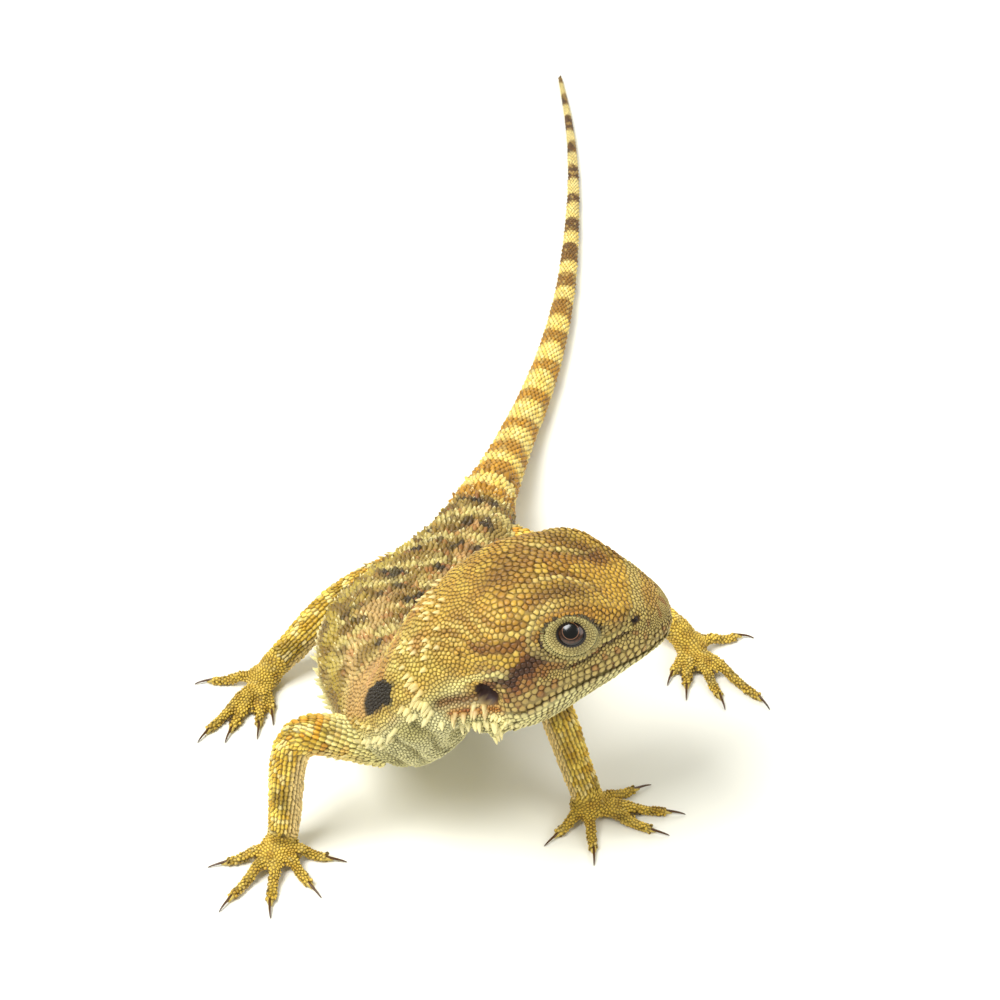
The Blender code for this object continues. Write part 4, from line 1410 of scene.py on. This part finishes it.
def lid_surface(side, share, turn):
    """Points of the lids at shares between the opening (0) and the face (1), and at angles round the eye."""
    centre, look, rear, up = eye_axes(side)
    along = rear * cos(LID_TURN) + up * sin(LID_TURN)
    tall = up * cos(LID_TURN) - rear * sin(LID_TURN)

    def flat(half_long, half_tall):
        return (np.multiply.outer(half_long * np.cos(turn), along)
                + np.multiply.outer(half_tall * np.sin(turn), tall))

    outer_tall = LID_OUTER_TALL * (0.9 + 0.1 * np.abs(np.sin(turn)))
    outer = centre + flat(LID_OUTER_LONG, outer_tall) - tall * LID_DROP
    edge = np.array([skin_tree.ray_cast(p + look * 7, -look)[0] or p for p in outer])
    edge_height = ((edge - centre) @ look) - 0.12
    opening = flat(OPEN_LONG, OPEN_TALL)
    open_height = np.sqrt(EYE_RADIUS ** 2 - (opening ** 2).sum(axis=1)) + 0.14
    outward = np.clip(share, 0, 1)
    inward = np.clip(-share, 0, 1)
    place = opening * (1 - outward - inward)[:, None] + (outer - centre) * outward[:, None]
    crease = 0.22 * hill(share, CREASE_AT, 0.045) * (np.sin(turn) < 0.2)
    height = (open_height + (edge_height - open_height) * outward - 1.6 * inward
              + LID_BULGE * np.sin(pi * outward) ** 0.8 - crease)
    return centre + place + height[:, None] * look


def lid_colours(share, turn):
    """The lids' colours, with painted shade in the lower lid's crease and the brow's shadow painted as a dark
    arc over the upper lid.
    """
    upper = step(np.sin(turn), -0.2, 0.4)
    return layered(
        shades(LID_TINTS, share),
        # painted shade in the lower lid's crease, then the brow's shadow painted over the upper lid
        ("#1d1408", 0.95 * (1 - upper) * hill(share, CREASE_AT - 0.02, 0.05)),
        ("#241808", 0.92 * upper * hill(share, 0.87, 0.13)),
    )


for name, side in (("eyelids_left", 1), ("eyelids_right", -1)):
    turn = side * 2 * pi * np.arange(LID_SIDES) / LID_SIDES
    share = np.concatenate(([-0.16, -0.08, -0.03], np.linspace(0, 1, LID_RINGS)))
    rings = np.array([lid_surface(side, np.full(LID_SIDES, s), turn) for s in share])[::-1]
    tints = np.array([lid_colours(np.full(LID_SIDES, s), turn) for s in share])[::-1]
    add_piece(name, ring_mesh(name, rings, tints), bare_skin)
print("eyelids:", LID_SIDES * len(share), "points each")


# %% The smallest scales, on the eyelids
LID_ROWS = ((0.18, 0.34), (0.30, 0.38), (0.42, 0.40), (0.53, 0.40), (0.84, 0.40))     # place and spacing


def lid_frames(side, share, turn):
    """Places on the eyelids with their facing, the direction away from the eye, and the way round it."""
    place = lid_surface(side, share, turn)
    away = unit(lid_surface(side, share + 0.02, turn) - place)
    around = unit(lid_surface(side, share, turn + 0.02) - place)
    normal = unit(np.cross(around, away))
    normal *= np.sign(dots(normal, eye_axes(side)[1][None]))
    return place, normal, away, np.cross(normal, away)


def lid_rows(side):
    """Rows of tiny scales round the eye."""
    share, turn = [], []
    for row, (at, gap) in enumerate(LID_ROWS):
        girth = 2 * pi * (OPEN_LONG + (LID_OUTER_LONG - OPEN_LONG) * at) * 0.92
        count = round(girth / gap)
        share += [at] * count
        turn += list(2 * pi * (np.arange(count) + 0.5 * (row % 2)) / count)
    share, turn = np.array(share), np.array(turn)
    place, normal, away, around = lid_frames(side, share, turn)
    size = np.full(len(place), 0.4)
    room = outlines(place, size, normal, away, around) * 0.96
    grains = scale_points(place, normal, away, around, room, size * 0.26, size * 0.05, size * 0.3, size * 0.3)
    tints = lid_colours(share, turn) * (0.88 + 0.24 * chance.random(len(share)))[:, None]
    tints = shaded(tints, np.full(len(share), 0.1), np.zeros(len(share)))
    return batch(grains, tints, unrolled(coordinates(place)), RING_SHARES, SIDES)


coat_piece("scales_eyelids", [lid_rows(side) for side in (1, -1)])

# %% [markdown]
# ## Spines
# A bearded dragon's spines are long pointed scales: the beard along the jaw, the fan behind the ear, clusters
# on the nape, short rows on the shoulder, the fringe down each flank, and small ones all over the back. They
# could be set one by one, but each row is simpler to give by its ends in body coordinates, alike on both
# sides, with a little chance in it. Each spine is a thin curved cone of a few rings.

# %% Rows of spines
SPINE_SIDES, SPINE_RINGS = 6, (0.0, 0.3, 0.62, 0.85)
SPINE_SHARES = [1 - share for share in SPINE_RINGS]
SPINE_PALE = (0.1, 0.4, 0.6, 0.75, 0.8)         # how pale each ring and the tip are
SPINE_ROWS = (          # start and end (distance back, tilt), count, length, radius, way along, out and up
    ((19.0, -23), (25.5, -28), 8, 0.95, 0.30, (0.55, 0.5, -0.6)),
    ((26.0, -25), (32.5, -32), 11, 1.35, 0.44, (0.55, 0.5, -0.6)),
    ((22.0, -31), (26.0, -37), 5, 0.90, 0.28, (0.5, 0.5, -0.6)),
    ((26.4, -35), (32.0, -42), 10, 1.40, 0.44, (0.4, 0.5, -0.7)),
    ((26.0, -43), (31.0, -52), 7, 1.10, 0.36, (0.4, 0.5, -0.7)),
    ((19.5, -20), (23.0, -24), 4, 0.80, 0.26, (0.7, 0.5, -0.5)),
    ((32.3, -22), (31.6, 4), 8, 1.60, 0.46, (0.9, 0.4, -0.1)),
    ((31.6, 2), (30.6, 26), 8, 1.20, 0.44, (0.9, 0.45, 0.1)),
    ((33.3, -14), (33.0, 6), 6, 1.30, 0.42, (0.9, 0.4, 0.0)),
    ((29.0, 24), (27.0, 46), 7, 0.95, 0.44, (0.9, 0.4, 0.1)),
    ((30.4, 40), (29.6, 62), 7, 0.95, 0.44, (0.9, 0.4, 0.1)),
    ((26.2, 62), (27.0, 88), 9, 0.95, 0.46, (0.9, 0.45, 0.2)),
    ((35.2, -9), (44.5, -2), 13, 1.70, 0.38, (0.8, 0.6, 0.0)),
    ((36.4, -15), (45.0, -8), 11, 1.25, 0.32, (0.8, 0.6, 0.0)),
    ((36.0, 2), (42.0, 24), 7, 0.90, 0.34, (0.8, 0.6, 0.0)),
    ((44.5, -9), (60.0, -3), 17, 1.80, 0.40, (0.7, 0.7, 0.0)),
    ((46.5, 2), (92.0, 5), 46, 1.35, 0.34, (0.8, 0.6, 0.0)),
    ((48.0, 12), (90.0, 15), 36, 0.95, 0.28, (0.8, 0.6, 0.0)),
)
BACK_SPINES = 260       # single small spines scattered over the back
TEETH, TEETH_AT = 34, 0.56      # how many on each lower lid, and where between the opening and the face
CLEAR_OF_EAR = 1.3      # spines leave this much of the ear's oval free


def spine_points(roots, facing, ways, length, radius, taper=0.75):
    """Rings and tip of each spine, bending from the skin towards its own way."""
    width = unit(np.cross(ways, facing))
    deep = unit(np.cross(width, ways))
    ring = circle(SPINE_SIDES)
    rows = []
    for share in SPINE_RINGS + (1.0,):
        bow = length * (0.3 * share - 0.3 * share ** 2) - 0.12
        centre = roots + ways * (length * share)[:, None] + facing * bow[:, None]
        girth = (radius * (1 - share) ** taper)[:, None, None]
        across = ring[None, :, :1] * width[:, None] * 1.1 + ring[None, :, 1:] * deep[:, None] * 0.75
        rows.append(centre[:, None] + girth * across if share < 1 else centre[:, None])
    return np.concatenate(rows, axis=1)


def spine_batch(roots, length, radius, along, out, up):
    """Spines at roots on the skin, with the coat's own colour at the root and a pale tip."""
    at = coordinates(roots)
    facing = on_skin(roots)[1]
    ways = unit(at["lie"] * along + facing * out + at["up"] * up)
    longer = chance.uniform(0.8, 1.15, len(roots))
    cones = spine_points(roots, facing, ways, length * longer, np.full(len(roots), radius))
    root_tint = markings_and_shading(at, roots, facing)
    rows = [blend(root_tint, "#f2e3a4", share)[:, None] for share in SPINE_PALE]
    tints = np.concatenate([np.repeat(row, SPINE_SIDES, axis=1) for row in rows[:-1]] + rows[-1:], axis=1)
    return batch(cones, tints, unrolled(at), SPINE_SHARES, SPINE_SIDES)


spines = []
for start, end, count, length, radius, way in SPINE_ROWS:
    roots, loose = [], 3.0 if start[1] > 20 else 1.0      # the nape's spines stand in clusters
    for side in (-1, 1):
        for share in (np.arange(count) + chance.uniform(0.3, 0.7, count)) / count:
            spot = np.array(start) + (np.array(end) - start) * share
            spot = spot + loose * chance.uniform((-0.35, -2.0), (0.35, 2.0))
            roots += surface_at(spot[0], spot[1:], side)
    roots = np.array(roots)
    roots_at, downward = coordinates(roots), on_skin(roots)[1][:, 2] < -0.6
    wanted = (oval_distance(roots_at, EAR) > CLEAR_OF_EAR) & ~(downward & (roots_at["back"] > 40))
    spines.append(spine_batch(roots[wanted], length, radius, *way))
scattered = np.flatnonzero((area == TRUNK) & (tilt > 25) & (back < 98))
drawn = chance.choice(scattered, BACK_SPINES, replace=False)
spines.append(spine_batch(sites[drawn], 0.8, 0.36, 0.8, 0.45, 0.2))

# %% The fringe of tiny teeth on each lower lid
for side in (1, -1):
    turn = pi + pi * (np.arange(TEETH) + 0.5) / TEETH
    place, normal, away, _ = lid_frames(side, np.full(TEETH, TEETH_AT), turn)
    ways = unit(away + 0.35 * normal)
    cones = spine_points(place, normal, ways, np.full(TEETH, 0.42), np.full(TEETH, 0.12))
    tints = np.tile(pigment(colour("#e3dcae")), (TEETH, cones.shape[1], 1))
    spines.append(batch(cones, tints, unrolled(coordinates(place)), SPINE_SHARES, SPINE_SIDES))
coat_piece("spines", spines)

# %% [markdown]
# ## Claws
# The claws' solids are already thin curved horns, so new ones needn't be modelled. Their copies are made
# thinner, joined foot by foot, rounded with a Subdivision Surface modifier, and painted from amber at the
# root to almost black at the point. A pale sheath of horn covers each root, where the claw leaves its toe.

# %% Horn claws
CLAW_WIDTH, CLAW_ROOT = 0.72, 0.9       # share of the solid's width, and how much further the root goes in
SHEATH, SHEATH_LONG, SHEATH_BACK, SHEATH_TAPER = 0.54, 1.6, 0.95, 0.45
CLAW_TINTS = ((0.0, "#6b4a24"), (0.4, "#45301a"), (1.0, "#1e1610"))

# Claw horn is dense keratin, worn smooth: a waxy shine along its back.
horn, shader, _ = painted_material("claw_horn")
shader.inputs["Roughness"].default_value = 0.3


def claw_copies(end, nodes):
    """Copies of a foot's claws as one mesh, thinner than the solids and reaching further into the toes."""
    joined = bmesh.new()
    for node in nodes:
        bm = merged_copy(node)
        root, ahead = claw_line(node, end)
        for v in bm.verts:
            rest = np.array(v.co) / MM - root
            far = float(rest @ ahead)
            along = ahead * (far - CLAW_ROOT * (far < 1.0))
            v.co = Vector(root + along + (rest - ahead * far) * CLAW_WIDTH) * MM
        join_into(joined, bm)
    mesh = bpy.data.meshes.new("claws_" + end)
    joined.to_mesh(mesh)
    joined.free()
    mesh.shade_smooth()
    return mesh


sheaths = []
for end, nodes in CLAWS.items():
    claws = add_piece("claws_" + end, claw_copies(end, nodes), horn)
    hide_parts(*nodes)
    make_active(claws)
    apply_modifier("SUBSURF", levels=2, render_levels=2)
    from_palm = read_vertices(claws, "co")[:, :2] / MM - middle(end)[:2]
    paint(claws.data, shades(CLAW_TINTS, step(np.linalg.norm(from_palm, axis=1), 9.0, 14.0)))
    roots, ways = np.array([claw_line(node, end) for node in nodes]).transpose(1, 0, 2)
    up = unit(np.array((0.0, 0.0, 1.0)) - ways * ways[:, 2:])
    full = np.ones(len(nodes))
    caps = spine_points(roots - ways * SHEATH_BACK, up, ways, full * SHEATH_LONG, full * SHEATH, SHEATH_TAPER)
    tints = np.tile(pigment(colour("#dcc67c")), (len(nodes), caps.shape[1], 1))
    place = unrolled_limbs(coordinates(roots), roots, up)
    sheaths.append(batch(caps, tints, place, SPINE_SHARES, SPINE_SIDES))
    print(claws.name, "stands for", len(nodes), "claws")

coat_piece("claw_sheaths", sheaths)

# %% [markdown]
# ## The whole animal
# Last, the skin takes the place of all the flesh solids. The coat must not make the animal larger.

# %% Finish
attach(skin, "root")
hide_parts(*FLESH)
